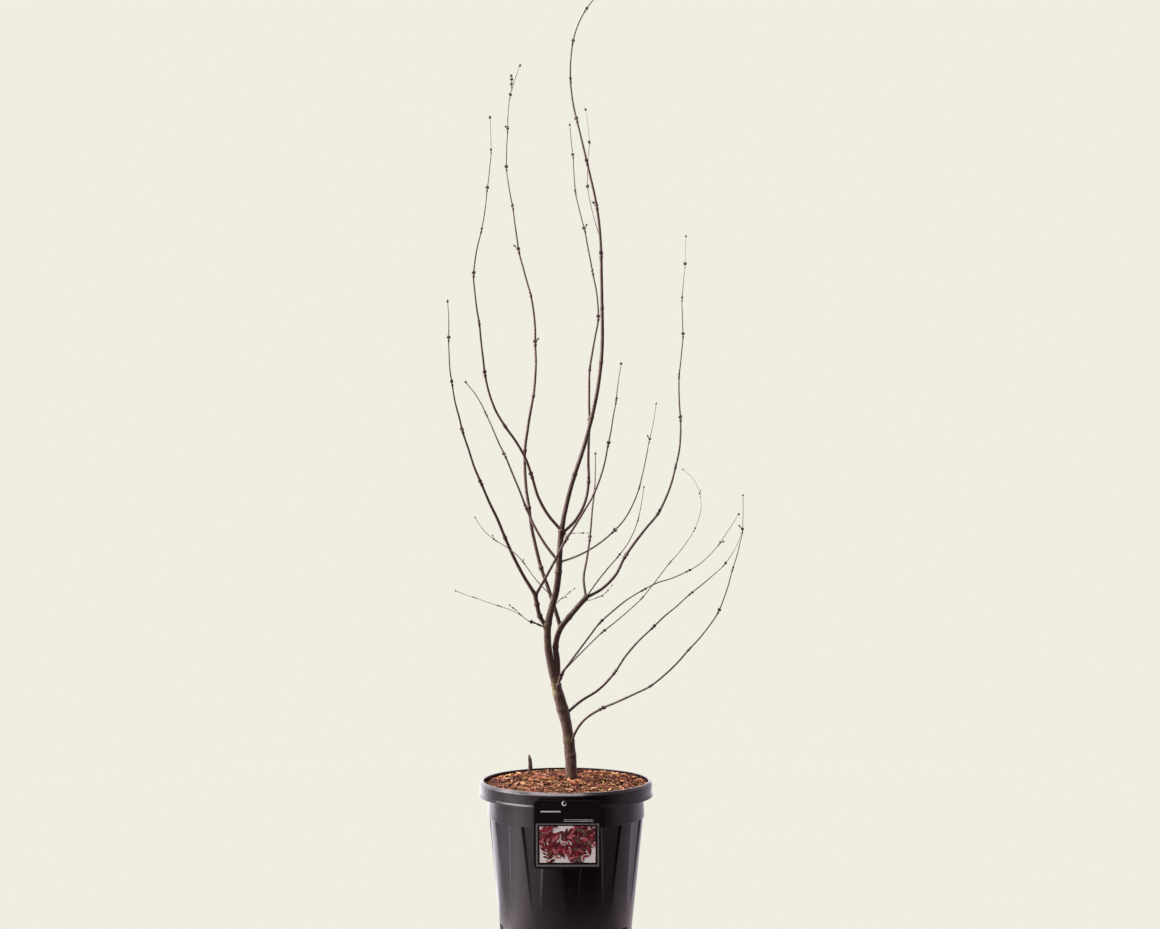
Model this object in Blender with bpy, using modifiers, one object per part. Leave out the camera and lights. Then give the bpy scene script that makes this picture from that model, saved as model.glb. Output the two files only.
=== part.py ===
"""A young Japanese maple, bare in winter, in a round black nursery pot.

Metres, +Z up. The origin is the middle of the pot's flat underside, and the front,
where the label hangs, faces -Y. Each limb walks up from the limb that carries it.
"""

import math
import random
from collections import namedtuple

import bmesh
import bpy
from mathutils import Matrix, Vector

MM = 0.001
GAP = 0.3 * MM
WELD = 0.002 * MM
SEED = 31

# Pot: a fluted body under a wide rim, with notches round its foot for drainage
POT_HEIGHT = 0.267
RIM_RADIUS = 0.151
RIM_DEPTH = 0.0265
RIM_WALL = 0.007
RIM_LIP = 0.002
RIM_SHOULDER = 0.004
BEAD = 0.0010
COLLAR_RADIUS = 0.1365
LEDGE_RADIUS = 0.1375
LEDGE_Z = 0.205
LEDGE_THICKNESS = 0.002
BODY_TOP_RADIUS = 0.1355
FOOT_RADIUS = 0.1145
WALL = 0.0045
FLOOR = 0.005
POT_STEPS = 48
FLUTES = 12
FLUTE_ANGLE = 17.5
FLUTE_FIRST = 35.6
FLUTE_DEPTH = 0.0012
FLUTE_BOTTOM_Z = 0.055
FLUTE_BOTTOM_SHARE = 0.45
NOTCHES = 8
NOTCH_ANGLE = 20
NOTCH_FIRST = 12
NOTCH_HEIGHT = 0.020
NOTCH_TOP_SHARE = 0.8
NOTCH_REACH = 0.012
BEYOND = 0.01

# Soil: bark mulch, lowest along the rim and flat where the trunk stands
SOIL_EDGE_Z = 0.2605
SOIL_TOP_Z = 0.2655
SOIL_PAD_RADIUS = 0.030

# Label: a card pinned to the front of the rim
LABEL_WIDTH = 0.112
LABEL_HEIGHT = 0.115
LABEL_THICKNESS = 0.0010
LABEL_TOP_Z = 0.2562
LABEL_X = 0.003
LABEL_CORNER = 0.006
PIN_X = -0.0015
PIN_Z = 0.2510
PIN_SHANK = 0.0020
PIN_HEAD = 0.0045
PIN_HEAD_DEPTH = 0.0015
PIN_STICKS_IN = 0.0015

# Cut stem: a short old stub in the mulch, behind the trunk on the left
STUB_PLACE = (-0.0672, 0.100)
STUB_HEIGHT = 0.032
STUB_SUNK = 0.005
STUB_LEANS = (12, 0, -10)
STUB_BACK = 2
STUB_RADII = (2.0, 2.4, 3.0, 3.3, 3.2, 2.5, 0.7)

# Trunk: its foot stands a little right of the pot's middle
TRUNK_X = 0.0105
TRUNK_RADII = (9.4, 10.5, 9.6, 10.4, 9.6)
FLARE = 1.2
FLARE_REACH = 0.014
TRUNK_SUNK = 0.01

# Limbs: on is the limb that carries this one, at the share of that limb's length.
# side and back are the leans from upright, in degrees at even places from foot to tip:
# side to the right as seen from the front, back away from the front. foot and tip are
# radii in millimetres. bough is the share of the length that is one plain tapering
# limb; twigs carry on from there to the tip.
Limb = namedtuple("Limb", "name on at length side back foot tip bough")
LIMBS = (
    Limb("trunk", None, 0, 0.17, (-3, -5, -14, -18), (1,), 9.4, 9.6, 1),
    Limb("left_leader", "trunk", 0.975, 0.28, (-14, -9, 18, 3, 5), (-4, -2), 7.2, 4.9, 1),
    Limb("right_leader", "trunk", 0.975, 0.175, (7, -7, 38, 43), (2, 4), 5.9, 4.6, 1),
    Limb("left_bough", "left_leader", 0.375, 0.066, (-36, -2), (-7,), 3.8, 3.6, 1),
    Limb("left_spur", "left_leader", 0.375, 0.046, (-57, -70), (-39,), 1.4, 1.1, 1),
    Limb("low_bough", "trunk", 0.875, 0.055, (-9, 29), (-29,), 2.7, 2.4, 1),
    Limb("top", "left_leader", 0.975, 0.995, (8, 19, 11, -1, -1, -13, -14, 8, 52), (1,), 4.3, 0.9, 0.4),
    Limb("top_left", "left_leader", 1, 0.75, (-43, -13, -40, -10, -9, -1, 15, 3, 1), (-7, -5), 2.8, 0.6, 0.4),
    Limb("top_right", "left_leader", 0.975, 0.765, (57, -4, 3, 8, -15, -9, -1), (10, 7), 2.8, 0.75, 0.4),
    Limb("back", "right_leader", 0.6, 1.05, (-14, -18, 2, 9, -13, -11, -1, 18), (10, 7), 3.6, 0.6, 0.4),
    Limb("left_outer", "left_bough", 1, 0.545, (-31, -20, -29, -14, -17, 3, -7), (-16, -12), 3.2, 0.65, 0.4),
    Limb("cross", "left_bough", 0.975, 0.455, (33, 30, 26, 5, 13), (-22, -18), 2.6, 0.65, 0.4),
    Limb("left_inner", "left_leader", 0.8, 0.365, (-39, -22, -27, -19, -45), (11, 8), 2.6, 0.85, 0.4),
    Limb("right_inner", "left_leader", 0.8, 0.36, (77, 55, 18, 14, 3), (-20, -15), 1.9, 0.5, 0.4),
    Limb("left_low", "left_leader", 0.575, 0.23, (-46, -30, -62, -22), (-34, -30), 0.9, 0.5, 0),
    Limb("spur_near", "left_spur", 1, 0.047, (-47,), (-25,), 0.6, 0.45, 0),
    Limb("spur_far", "left_spur", 1, 0.145, (-46, -75, -63), (-21,), 0.6, 0.45, 0),
    Limb("right_upright", "right_leader", 1, 0.27, (-12, 18, 0, 6, 3), (22, 15), 2.4, 0.9, 0.4),
    Limb("right_outer", "right_leader", 1, 0.725, (73, 29, 38, 20, -3, 4, 2, 2, 7), (13, 9), 2.8, 0.5, 0.4),
    Limb("right_fork", "right_leader", 1, 0.225, (36, 44, 18, 10), (-8,), 1.4, 0.55, 0),
    Limb("low_right", "trunk", 0.675, 0.465, (50, 63, 31, 43, 55, 49, 44, 23), (14, 9), 2.6, 0.45, 0.4),
    Limb("low_front", "trunk", 0.25, 0.61, (0, 62, 58, 41, 25, 10, 0), (-21, -16), 2.4, 0.5, 0.4),
    Limb("low_near", "low_bough", 1, 0.42, (39, 40, 49, 78, 38, 35), (-7,), 1.9, 0.45, 0.4),
    Limb("low_far", "low_bough", 1, 0.51, (48, 52, 45, 41, 23, -59), (29, 20), 1.3, 0.45, 0.4),
    Limb("leader_shoot", "left_leader", 0.5, 0.055, (40, 58), (15,), 0.65, 0.45, 0),
    Limb("fork_shoot", "left_leader", 0.96, 0.05, (68, 96), (-20,), 0.65, 0.45, 0),
    Limb("knob_shoot", "right_leader", 0.96, 0.065, (98, 62, 38), (25,), 0.65, 0.45, 0),
)

# Side shoots that show in the crown: the limb they leave, and where
Shoot = namedtuple("Shoot", "limb at length side back")
SHOOTS = (
    Shoot("top", 0.53, 0.24, (-16, -7, 2, -6), 10),
    Shoot("back", 0.955, 0.026, (0,), 4),
)

# Growth: buds stand in pairs, each pair a quarter turn on from the last, and some
# pairs have grown out into spurs
NODE_GAP = 0.085
NODE_GAP_SHRINK = 0.5
RINGS = 3
TRUNK_RINGS = 4
ZIGZAG = 3.0
BUD_LENGTH = 0.005
BUD_STOUTNESS = 0.85
BUD_RISE = 60
BUD_ABOVE_NODE = 0.004
BUD_ROOT_SHARE = 0.3
BUD_TURN_SPREAD = 15
BARE_SHARE = 0.02
SHOOT_RADIUS = 0.9
SPUR_LENGTHS = (0.005, 0.010)
SPUR_RISE = 52
SPUR_CHANCE = 0.15
SPUR_RADIUS = 0.75
TIP_RADIUS = 0.45
CLEAR = 0.006

SIDES_TO_RESOLUTION = {4: 0, 6: 1, 8: 2, 10: 3}
TRUNK_SIDES = 10
LEADER_SIDES = 8
BOUGH_SIDES = 6
TWIG_SIDES = 4
LEADER_LEAST = 4.0

COLOURS = {
    "pot_plastic": ((0.012, 0.011, 0.016), 0.34),
    "mulch": ((0.130, 0.060, 0.028), 0.90),
    "card": ((0.020, 0.018, 0.020), 0.35),
    "pin_plastic": ((0.72, 0.72, 0.70), 0.40),
    "old_wood": ((0.045, 0.033, 0.028), 0.85),
    "trunk_bark": ((0.150, 0.105, 0.080), 0.75),
    "bough_bark": ((0.085, 0.042, 0.040), 0.60),
    "twig_bark": ((0.130, 0.058, 0.050), 0.60),
}


def clear_scene():
    for obj in list(bpy.data.objects):
        bpy.data.objects.remove(obj)


def make_collection(name):
    collection = bpy.data.collections.new(name)
    bpy.context.scene.collection.children.link(collection)
    return collection


def material(name):
    found = bpy.data.materials.get(name)
    if found:
        return found
    colour, roughness = COLOURS[name]
    made = bpy.data.materials.new(name)
    made.use_nodes = True
    shader = made.node_tree.nodes["Principled BSDF"]
    shader.inputs["Base Color"].default_value = (*colour, 1)
    shader.inputs["Roughness"].default_value = roughness
    made.diffuse_color = (*colour, 1)
    return made


def add_object(name, data, collection, finish=None):
    obj = bpy.data.objects.new(name, data)
    collection.objects.link(obj)
    if finish:
        data.materials.clear()
        data.materials.append(material(finish))
    return obj


def evaluated_mesh(obj):
    graph = bpy.context.evaluated_depsgraph_get()
    return bpy.data.meshes.new_from_object(obj.evaluated_get(graph))


def to_outward_mesh(bm, mesh):
    """Writes a closed shape to the mesh with its faces pointing out."""
    bm.normal_update()
    bmesh.ops.recalc_face_normals(bm, faces=bm.faces)
    if bm.calc_volume(signed=True) < 0:
        bmesh.ops.reverse_faces(bm, faces=bm.faces)
    bm.to_mesh(mesh)
    bm.free()


def weld(mesh):
    bm = bmesh.new()
    bm.from_mesh(mesh)
    bmesh.ops.remove_doubles(bm, verts=bm.verts, dist=WELD)
    to_outward_mesh(bm, mesh)


def tube(name, path, radii, sides, collection, finish=None):
    """A closed tube along the path, with a radius in millimetres at each of its points."""
    curve = bpy.data.curves.new(name, "CURVE")
    curve.dimensions = "3D"
    curve.bevel_depth = MM
    curve.bevel_resolution = SIDES_TO_RESOLUTION[sides]
    curve.use_fill_caps = True
    spline = curve.splines.new("POLY")
    spline.points.add(len(path) - 1)
    for point, place, radius in zip(spline.points, path, radii):
        point.co = (*place, 1)
        point.radius = radius
    guide = add_object(name + "_guide", curve, collection)
    mesh = evaluated_mesh(guide)
    bpy.data.objects.remove(guide)
    weld(mesh)
    mesh.name = name
    return add_object(name, mesh, collection, finish)


def bake(obj):
    """Replaces the object's mesh with what its modifiers make of it."""
    finish = obj.data.materials[0] if obj.data.materials else None
    mesh = evaluated_mesh(obj)
    obj.modifiers.clear()
    obj.data = mesh
    mesh.name = obj.name
    if finish:
        mesh.materials.clear()
        mesh.materials.append(finish)


def welded(mesh):
    """The mesh with points that lie together made one. Faces folded flat on each other go."""
    bm = bmesh.new()
    bm.from_mesh(mesh)
    bmesh.ops.remove_doubles(bm, verts=bm.verts, dist=WELD)
    bmesh.ops.triangulate(bm, faces=bm.faces)
    twins = {}
    for face in bm.faces:
        twins.setdefault(frozenset(face.verts), []).append(face)
    folded = [face for faces in twins.values() if len(faces) > 1 for face in faces]
    bmesh.ops.delete(bm, geom=folded, context="FACES")
    return bm


def is_closed(mesh):
    """Whether every edge has two faces."""
    bm = welded(mesh)
    closed = all(len(edge.link_faces) == 2 for edge in bm.edges)
    bm.free()
    return closed


def boolean(obj, operation, others):
    """Cuts the other objects from this one, or joins them to it, and removes them.

    The exact solver leaves a torn seam on a few of the twig masses, and there the
    manifold solver, which needs closed pieces, makes the joint instead.
    """
    group = make_collection(obj.name + "_" + operation.lower())
    for other in others:
        for old in other.users_collection:
            old.objects.unlink(other)
        group.objects.link(other)
    modifier = obj.modifiers.new(operation.title(), "BOOLEAN")
    modifier.operation = operation
    modifier.operand_type = "COLLECTION"
    modifier.collection = group
    modifier.solver = "EXACT"
    if not is_closed(evaluated_mesh(obj)):
        modifier.solver = "MANIFOLD"
    bake(obj)
    for other in others:
        bpy.data.objects.remove(other)
    bpy.data.collections.remove(group)


def keep_largest_body(obj):
    """A cut can leave a loose scrap on the far side of the cutter. It is dropped."""
    bm = welded(obj.data)
    left = set(bm.verts)
    bodies = []
    while left:
        stack = [left.pop()]
        body = set(stack)
        while stack:
            vert = stack.pop()
            for edge in vert.link_edges:
                other = edge.other_vert(vert)
                if other in left:
                    left.discard(other)
                    body.add(other)
                    stack.append(other)
        bodies.append(body)
    largest = max(bodies, key=len)
    loose = [vert for vert in bm.verts if vert not in largest]
    bmesh.ops.delete(bm, geom=loose, context="VERTS")
    bm.to_mesh(obj.data)
    bm.free()


def shade_round(obj, angle=40):
    obj.data.shade_smooth()
    obj.data.set_sharp_from_angle(angle=math.radians(angle))


def turned(name, profile, collection, finish=None):
    """A solid of revolution about Z from (radius, height) points, outer side downwards."""
    mesh = bpy.data.meshes.new(name)
    count = len(profile)
    edges = [(i, i + 1) for i in range(count - 1)]
    mesh.from_pydata([(radius, 0, z) for radius, z in profile], edges, [])
    obj = add_object(name, mesh, collection, finish)
    screw = obj.modifiers.new("Screw", "SCREW")
    screw.steps = screw.render_steps = POT_STEPS
    screw.use_merge_vertices = True
    screw.merge_threshold = 0.01 * MM
    screw.use_normal_calculate = True
    return obj


def body_radius(z):
    """The outside radius of the pot's body, which tapers evenly to its foot."""
    share = z / LEDGE_Z
    return FOOT_RADIUS + (BODY_TOP_RADIUS - FOOT_RADIUS) * share


def inside_profile(clear=0.0):
    """The pot's inner wall, from the floor up to the rim, drawn in by clear."""
    rim_foot_z = POT_HEIGHT - RIM_DEPTH
    return [
        (FOOT_RADIUS - WALL - clear, FLOOR + clear),
        (BODY_TOP_RADIUS - WALL - clear, LEDGE_Z + clear),
        (COLLAR_RADIUS - WALL - clear, rim_foot_z + WALL + clear),
        (RIM_RADIUS - RIM_WALL - clear, rim_foot_z + WALL + RIM_SHOULDER + clear),
    ]


def block(name, corners, collection):
    """A six-sided block from its eight corners, the lower four first, each ring in turn."""
    bm = bmesh.new()
    bmesh.ops.create_cube(bm, size=1)
    order = sorted(bm.verts, key=lambda v: (v.co.z, math.atan2(v.co.y, v.co.x)))
    for vert, corner in zip(order, corners):
        vert.co = corner
    mesh = bpy.data.meshes.new(name)
    to_outward_mesh(bm, mesh)
    return add_object(name, mesh, collection)


def wedge_ring(low, high):
    """Corners from (near radius, far radius, half width, height) low and high, facing +X."""
    corners = []
    for near, far, half, z in (low, high):
        corners += [(near, -half, z), (far, -half, z), (far, half, z), (near, half, z)]
    return corners


def turned_corners(corners, azimuth):
    """The corners turned about Z, azimuth degrees to the right of the front."""
    turn = math.radians(azimuth - 90)
    cos, sin = math.cos(turn), math.sin(turn)
    return [(x * cos - y * sin, x * sin + y * cos, z) for x, y, z in corners]


def flute_cutters(collection):
    half_angle = math.radians(FLUTE_ANGLE / 2)
    half = BODY_TOP_RADIUS * math.sin(half_angle)
    top_near = BODY_TOP_RADIUS * math.cos(half_angle) - FLUTE_DEPTH
    foot_near = body_radius(FLUTE_BOTTOM_Z)
    low = (foot_near, RIM_RADIUS, half * FLUTE_BOTTOM_SHARE, FLUTE_BOTTOM_Z)
    high = (top_near, RIM_RADIUS, half, LEDGE_Z - LEDGE_THICKNESS)
    corners = wedge_ring(low, high)
    pitch = 360 / FLUTES
    return [
        block("flute", turned_corners(corners, FLUTE_FIRST + i * pitch), collection)
        for i in range(FLUTES)
    ]


def notch_cutters(collection):
    half = FOOT_RADIUS * math.sin(math.radians(NOTCH_ANGLE / 2))
    near = FOOT_RADIUS - NOTCH_REACH
    low = (near, RIM_RADIUS, half, -BEYOND)
    high = (near, RIM_RADIUS, half * NOTCH_TOP_SHARE, NOTCH_HEIGHT)
    corners = wedge_ring(low, high)
    pitch = 360 / NOTCHES
    return [
        block("notch", turned_corners(corners, NOTCH_FIRST + i * pitch), collection)
        for i in range(NOTCHES)
    ]


def rod(name, radius, near_y, far_y, place, collection, sides=12):
    """A round bar along Y from near_y to far_y, at (x, z)."""
    bm = bmesh.new()
    bmesh.ops.create_cone(
        bm, cap_ends=True, segments=sides, radius1=radius, radius2=radius, depth=far_y - near_y
    )
    for vert in bm.verts:
        x, y, z = vert.co
        vert.co = (x + place[0], z + (near_y + far_y) / 2, y + place[1])
    mesh = bpy.data.meshes.new(name)
    to_outward_mesh(bm, mesh)
    return add_object(name, mesh, collection)


def label_face_y():
    """The Y of the label's front face. Its back lies a gap in front of the rim."""
    return -(RIM_RADIUS + BEAD + GAP + LABEL_THICKNESS)


def make_pot(collection):
    rim_foot_z = POT_HEIGHT - RIM_DEPTH
    outer = [
        (RIM_RADIUS - RIM_WALL, POT_HEIGHT - RIM_LIP),
        (RIM_RADIUS - RIM_WALL + RIM_LIP, POT_HEIGHT),
        (RIM_RADIUS - RIM_LIP, POT_HEIGHT),
        (RIM_RADIUS, POT_HEIGHT - RIM_LIP),
        (RIM_RADIUS, rim_foot_z + 2 * BEAD),
        (RIM_RADIUS + BEAD, rim_foot_z + BEAD),
        (RIM_RADIUS, rim_foot_z),
        (COLLAR_RADIUS, rim_foot_z + BEAD),
        (LEDGE_RADIUS, LEDGE_Z + LEDGE_THICKNESS),
        (LEDGE_RADIUS, LEDGE_Z),
        (BODY_TOP_RADIUS, LEDGE_Z - LEDGE_THICKNESS / 2),
        (FOOT_RADIUS, 0),
        (0, 0),
    ]
    profile = [(0, FLOOR)] + inside_profile() + outer
    pot = turned("pot", profile, collection, "pot_plastic")
    bake(pot)
    weld(pot.data)
    back_y = -(RIM_RADIUS - RIM_WALL) + PIN_STICKS_IN
    front_y = -RIM_RADIUS - BEYOND
    hole = rod("pin_hole", PIN_SHANK + GAP, front_y, back_y, (PIN_X, PIN_Z), collection)
    boolean(pot, "DIFFERENCE", flute_cutters(collection) + notch_cutters(collection) + [hole])
    keep_largest_body(pot)
    shade_round(pot, 30)


def soil_profile(lift=0.0):
    """The soil fills the pot, a gap clear of it. lift raises its top."""
    top = [
        (0, SOIL_TOP_Z + lift),
        (SOIL_PAD_RADIUS, SOIL_TOP_Z + lift),
        (RIM_RADIUS - RIM_WALL - GAP, SOIL_EDGE_Z + lift),
    ]
    return top + inside_profile(GAP)[::-1] + [(0, FLOOR + GAP)]


def make_soil(collection):
    soil = turned("soil", soil_profile(), collection, "mulch")
    bake(soil)
    weld(soil.data)
    back_y = -(RIM_RADIUS - RIM_WALL) + PIN_STICKS_IN + 2 * GAP
    socket = rod("pin_room", PIN_SHANK + 2 * GAP, -RIM_RADIUS, back_y, (PIN_X, PIN_Z), collection)
    boolean(soil, "DIFFERENCE", [socket])
    keep_largest_body(soil)
    shade_round(soil, 30)


def make_label(collection):
    """A card with round upper corners and a hole for its pin."""
    half = LABEL_WIDTH / 2
    bottom = LABEL_TOP_Z - LABEL_HEIGHT
    outline = [(-half, bottom), (half, bottom)]
    for centre_x, first in ((half - LABEL_CORNER, 0), (-half + LABEL_CORNER, 90)):
        for step in range(4):
            turn = math.radians(first + step * 30)
            outline.append((
                centre_x + LABEL_CORNER * math.cos(turn),
                LABEL_TOP_Z - LABEL_CORNER + LABEL_CORNER * math.sin(turn),
            ))
    front = label_face_y()
    bm = bmesh.new()
    face = bm.faces.new([bm.verts.new((x + LABEL_X, front, z)) for x, z in outline])
    moved = bmesh.ops.extrude_face_region(bm, geom=[face])["geom"]
    for vert in (item for item in moved if isinstance(item, bmesh.types.BMVert)):
        vert.co.y += LABEL_THICKNESS
    mesh = bpy.data.meshes.new("label")
    to_outward_mesh(bm, mesh)
    label = add_object("label", mesh, collection, "card")
    near, far = front - BEYOND, front + BEYOND
    hole = rod("card_hole", PIN_SHANK + GAP, near, far, (PIN_X, PIN_Z), collection)
    boolean(label, "DIFFERENCE", [hole])


def make_label_pin(collection):
    """A push pin: a round head in front of the card and a shank through the rim."""
    front = label_face_y() - GAP
    back = -(RIM_RADIUS - RIM_WALL) + PIN_STICKS_IN
    pin = rod("label_pin", PIN_SHANK, front - PIN_HEAD_DEPTH / 2, back, (PIN_X, PIN_Z), collection)
    pin.data.materials.append(material("pin_plastic"))
    head = rod("pin_head", PIN_HEAD, front - PIN_HEAD_DEPTH, front, (PIN_X, PIN_Z), collection, 16)
    boolean(pin, "UNION", [head])
    shade_round(pin, 30)


def direction(side, back):
    """The unit vector that leans side degrees to the right and back degrees away."""
    a, b = math.radians(side), math.radians(back)
    return Vector((math.sin(a) * math.cos(b), math.sin(b), math.cos(a) * math.cos(b)))


def between(values, share):
    """The value at this share of an even row of values, straight between its neighbours."""
    place = min(max(share, 0), 1) * (len(values) - 1)
    low = min(int(place), len(values) - 2) if len(values) > 1 else 0
    high = min(low + 1, len(values) - 1)
    return values[low] + (values[high] - values[low]) * (place - low)


def node_shares(length):
    """The places of the nodes along a limb, whose gaps shrink towards the tip."""
    count = max(3, round(length / NODE_GAP))
    gaps = [1 - NODE_GAP_SHRINK * (i + 0.5) / count for i in range(count)]
    shares = [0.0]
    for gap in gaps:
        shares.append(shares[-1] + gap / sum(gaps))
    return shares


def walk(foot, length, side, back, zigzag, rings=RINGS):
    """The points of a limb, from foot to tip, and the share of its length at each.

    Every stretch between two nodes has this many straight steps. Its lean swings to one
    side by the zigzag and that of the next stretch to the other.
    """
    nodes = node_shares(length)
    points = [Vector(foot)]
    shares = [0.0]
    for i, (low, high) in enumerate(zip(nodes, nodes[1:])):
        swing = zigzag if i % 2 else -zigzag
        part = (high - low) / rings
        for _ in range(rings):
            middle = shares[-1] + part / 2
            step = direction(between(side, middle) + swing, between(back, middle) - swing)
            points.append(points[-1] + step * length * part)
            shares.append(shares[-1] + part)
    return points, shares


def point_at(points, shares, share):
    """The point at a share of the limb's length, and the direction there."""
    for i in range(1, len(shares)):
        if share <= shares[i] + 1e-9:
            break
    low, high = points[i - 1], points[i]
    part = (share - shares[i - 1]) / (shares[i] - shares[i - 1])
    return low.lerp(high, part), (high - low).normalized()


class Grown:
    """A limb of the table with its walked path."""

    def __init__(self, limb, foot):
        self.limb = limb
        zigzag = ZIGZAG if limb.foot < LEADER_LEAST else 0
        rings = TRUNK_RINGS if limb.on is None else RINGS
        self.points, self.shares = walk(foot, limb.length, limb.side, limb.back, zigzag, rings)
        self.nodes = node_shares(limb.length)

    def radius(self, share):
        limb = self.limb
        if limb.name != "trunk":
            return limb.foot + (limb.tip - limb.foot) * share
        flare = FLARE * math.exp(-share * limb.length / FLARE_REACH)
        return between(TRUNK_RADII, share) + flare

    def stretch(self, start, end, swell=0.0):
        """The path and radii from one share of the length to another."""
        inner = [s for s in self.shares if start + 1e-6 < s < end - 1e-6]
        shares = [start] + inner + [end]
        path = [point_at(self.points, self.shares, s)[0] for s in shares]
        return path, [self.radius(s) + swell / MM for s in shares]

    def split(self):
        """The share where the bough ends, in the middle of the nearest stretch between nodes."""
        if self.limb.bough in (0, 1):
            return self.limb.bough
        middles = [(a + b) / 2 for a, b in zip(self.shares, self.shares[1:])]
        return min(middles, key=lambda m: abs(m - self.limb.bough))

    def sides(self):
        if self.limb.name == "trunk":
            return TRUNK_SIDES
        return LEADER_SIDES if self.limb.foot >= LEADER_LEAST else BOUGH_SIDES


def grow_limbs():
    grown = {}
    for limb in LIMBS:
        if limb.on is None:
            foot = Vector((TRUNK_X, 0, SOIL_TOP_Z + GAP))
        else:
            carrier = grown[limb.on]
            foot = point_at(carrier.points, carrier.shares, limb.at)[0]
        grown[limb.name] = Grown(limb, foot)
    return grown


def nearest(point, path):
    """The least distance from a point to a path."""
    least = math.inf
    for low, high in zip(path, path[1:]):
        run = high - low
        part = max(0, min(1, (point - low).dot(run) / max(run.length_squared, 1e-12)))
        least = min(least, (point - low - run * part).length)
    return least


def swollen(grown, collection):
    """The limb a gap larger all round, to cut its neighbours clear of it."""
    path, radii = grown.stretch(0, 1, GAP)
    end = (path[-1] - path[-2]).normalized()
    path[-1] = path[-1] + end * GAP
    return tube(grown.limb.name + "_room", path, radii, grown.sides(), collection)


def neighbours(one, before):
    """The limb that carries this one, and those that leave it from the same place."""
    found = []
    for other in before:
        if other.limb.name == one.limb.on:
            found.append(other)
            continue
        reach = (one.limb.foot + other.limb.foot) * MM + 2 * GAP
        if (other.points[0] - one.points[0]).length < 3 * reach and other.limb.on == one.limb.on:
            found.append(other)
    return found


def make_bough(one, before, collection):
    share = one.split()
    path, radii = one.stretch(0, share)
    name = one.limb.name if share == 1 else one.limb.name + "_bough"
    finish = "trunk_bark" if one.limb.name == "trunk" else "bough_bark"
    if one.limb.on is None:
        path[0] = path[0] - direction(one.limb.side[0], one.limb.back[0]) * TRUNK_SUNK
    bough = tube(name, path, radii, one.sides(), collection, finish)
    if one.limb.on is None:
        cut_level(bough, SOIL_TOP_Z + GAP)
    else:
        boolean(bough, "DIFFERENCE", [swollen(other, collection) for other in neighbours(one, before)])
        keep_largest_body(bough)
    shade_round(bough)


def cut_level(obj, z):
    """Cuts the object off flat at this height and closes the cut."""
    bm = bmesh.new()
    bm.from_mesh(obj.data)
    geometry = list(bm.verts) + list(bm.edges) + list(bm.faces)
    cut = bmesh.ops.bisect_plane(
        bm, geom=geometry, plane_co=(0, 0, z), plane_no=(0, 0, 1), clear_inner=True
    )
    edges = [item for item in cut["geom_cut"] if isinstance(item, bmesh.types.BMEdge)]
    bmesh.ops.contextual_create(bm, geom=edges)
    to_outward_mesh(bm, obj.data)


def across(along, turn):
    """A unit vector square to the limb, turned about it by this many degrees."""
    right = along.cross(Vector((0, 1, 0))).normalized()
    away = along.cross(right).normalized()
    return right * math.cos(math.radians(turn)) + away * math.sin(math.radians(turn))


def spike(name, foot, tip, foot_radius, tip_radius, collection):
    """A three-sided cone from foot to tip, its radii in millimetres, for a bud or a spur."""
    run = tip - foot
    place = Matrix.Translation((foot + tip) / 2) @ run.to_track_quat("Z", "Y").to_matrix().to_4x4()
    bm = bmesh.new()
    bmesh.ops.create_cone(
        bm,
        cap_ends=True,
        segments=3,
        radius1=foot_radius * MM,
        radius2=tip_radius * MM,
        depth=run.length,
        matrix=place,
    )
    mesh = bpy.data.meshes.new(name)
    bm.to_mesh(mesh)
    bm.free()
    return add_object(name, mesh, collection)


def bud_pair(name, place, along, turn, radius, collection):
    """Two buds on opposite sides of the stem, their roots sunk in it."""
    out = across(along, turn)
    rise = math.radians(BUD_RISE)
    buds = []
    for way in (-1, 1):
        lean = out * way * math.cos(rise) + along * math.sin(rise)
        foot = place + out * way * radius * BUD_ROOT_SHARE * MM
        tip = foot + lean * (BUD_LENGTH + radius * MM)
        buds.append(spike(name, foot, tip, radius * BUD_STOUTNESS, TIP_RADIUS / 2, collection))
    return buds


def free_of(points, others):
    return all(nearest(point, path) > CLEAR for point in points for path in others)


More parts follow.
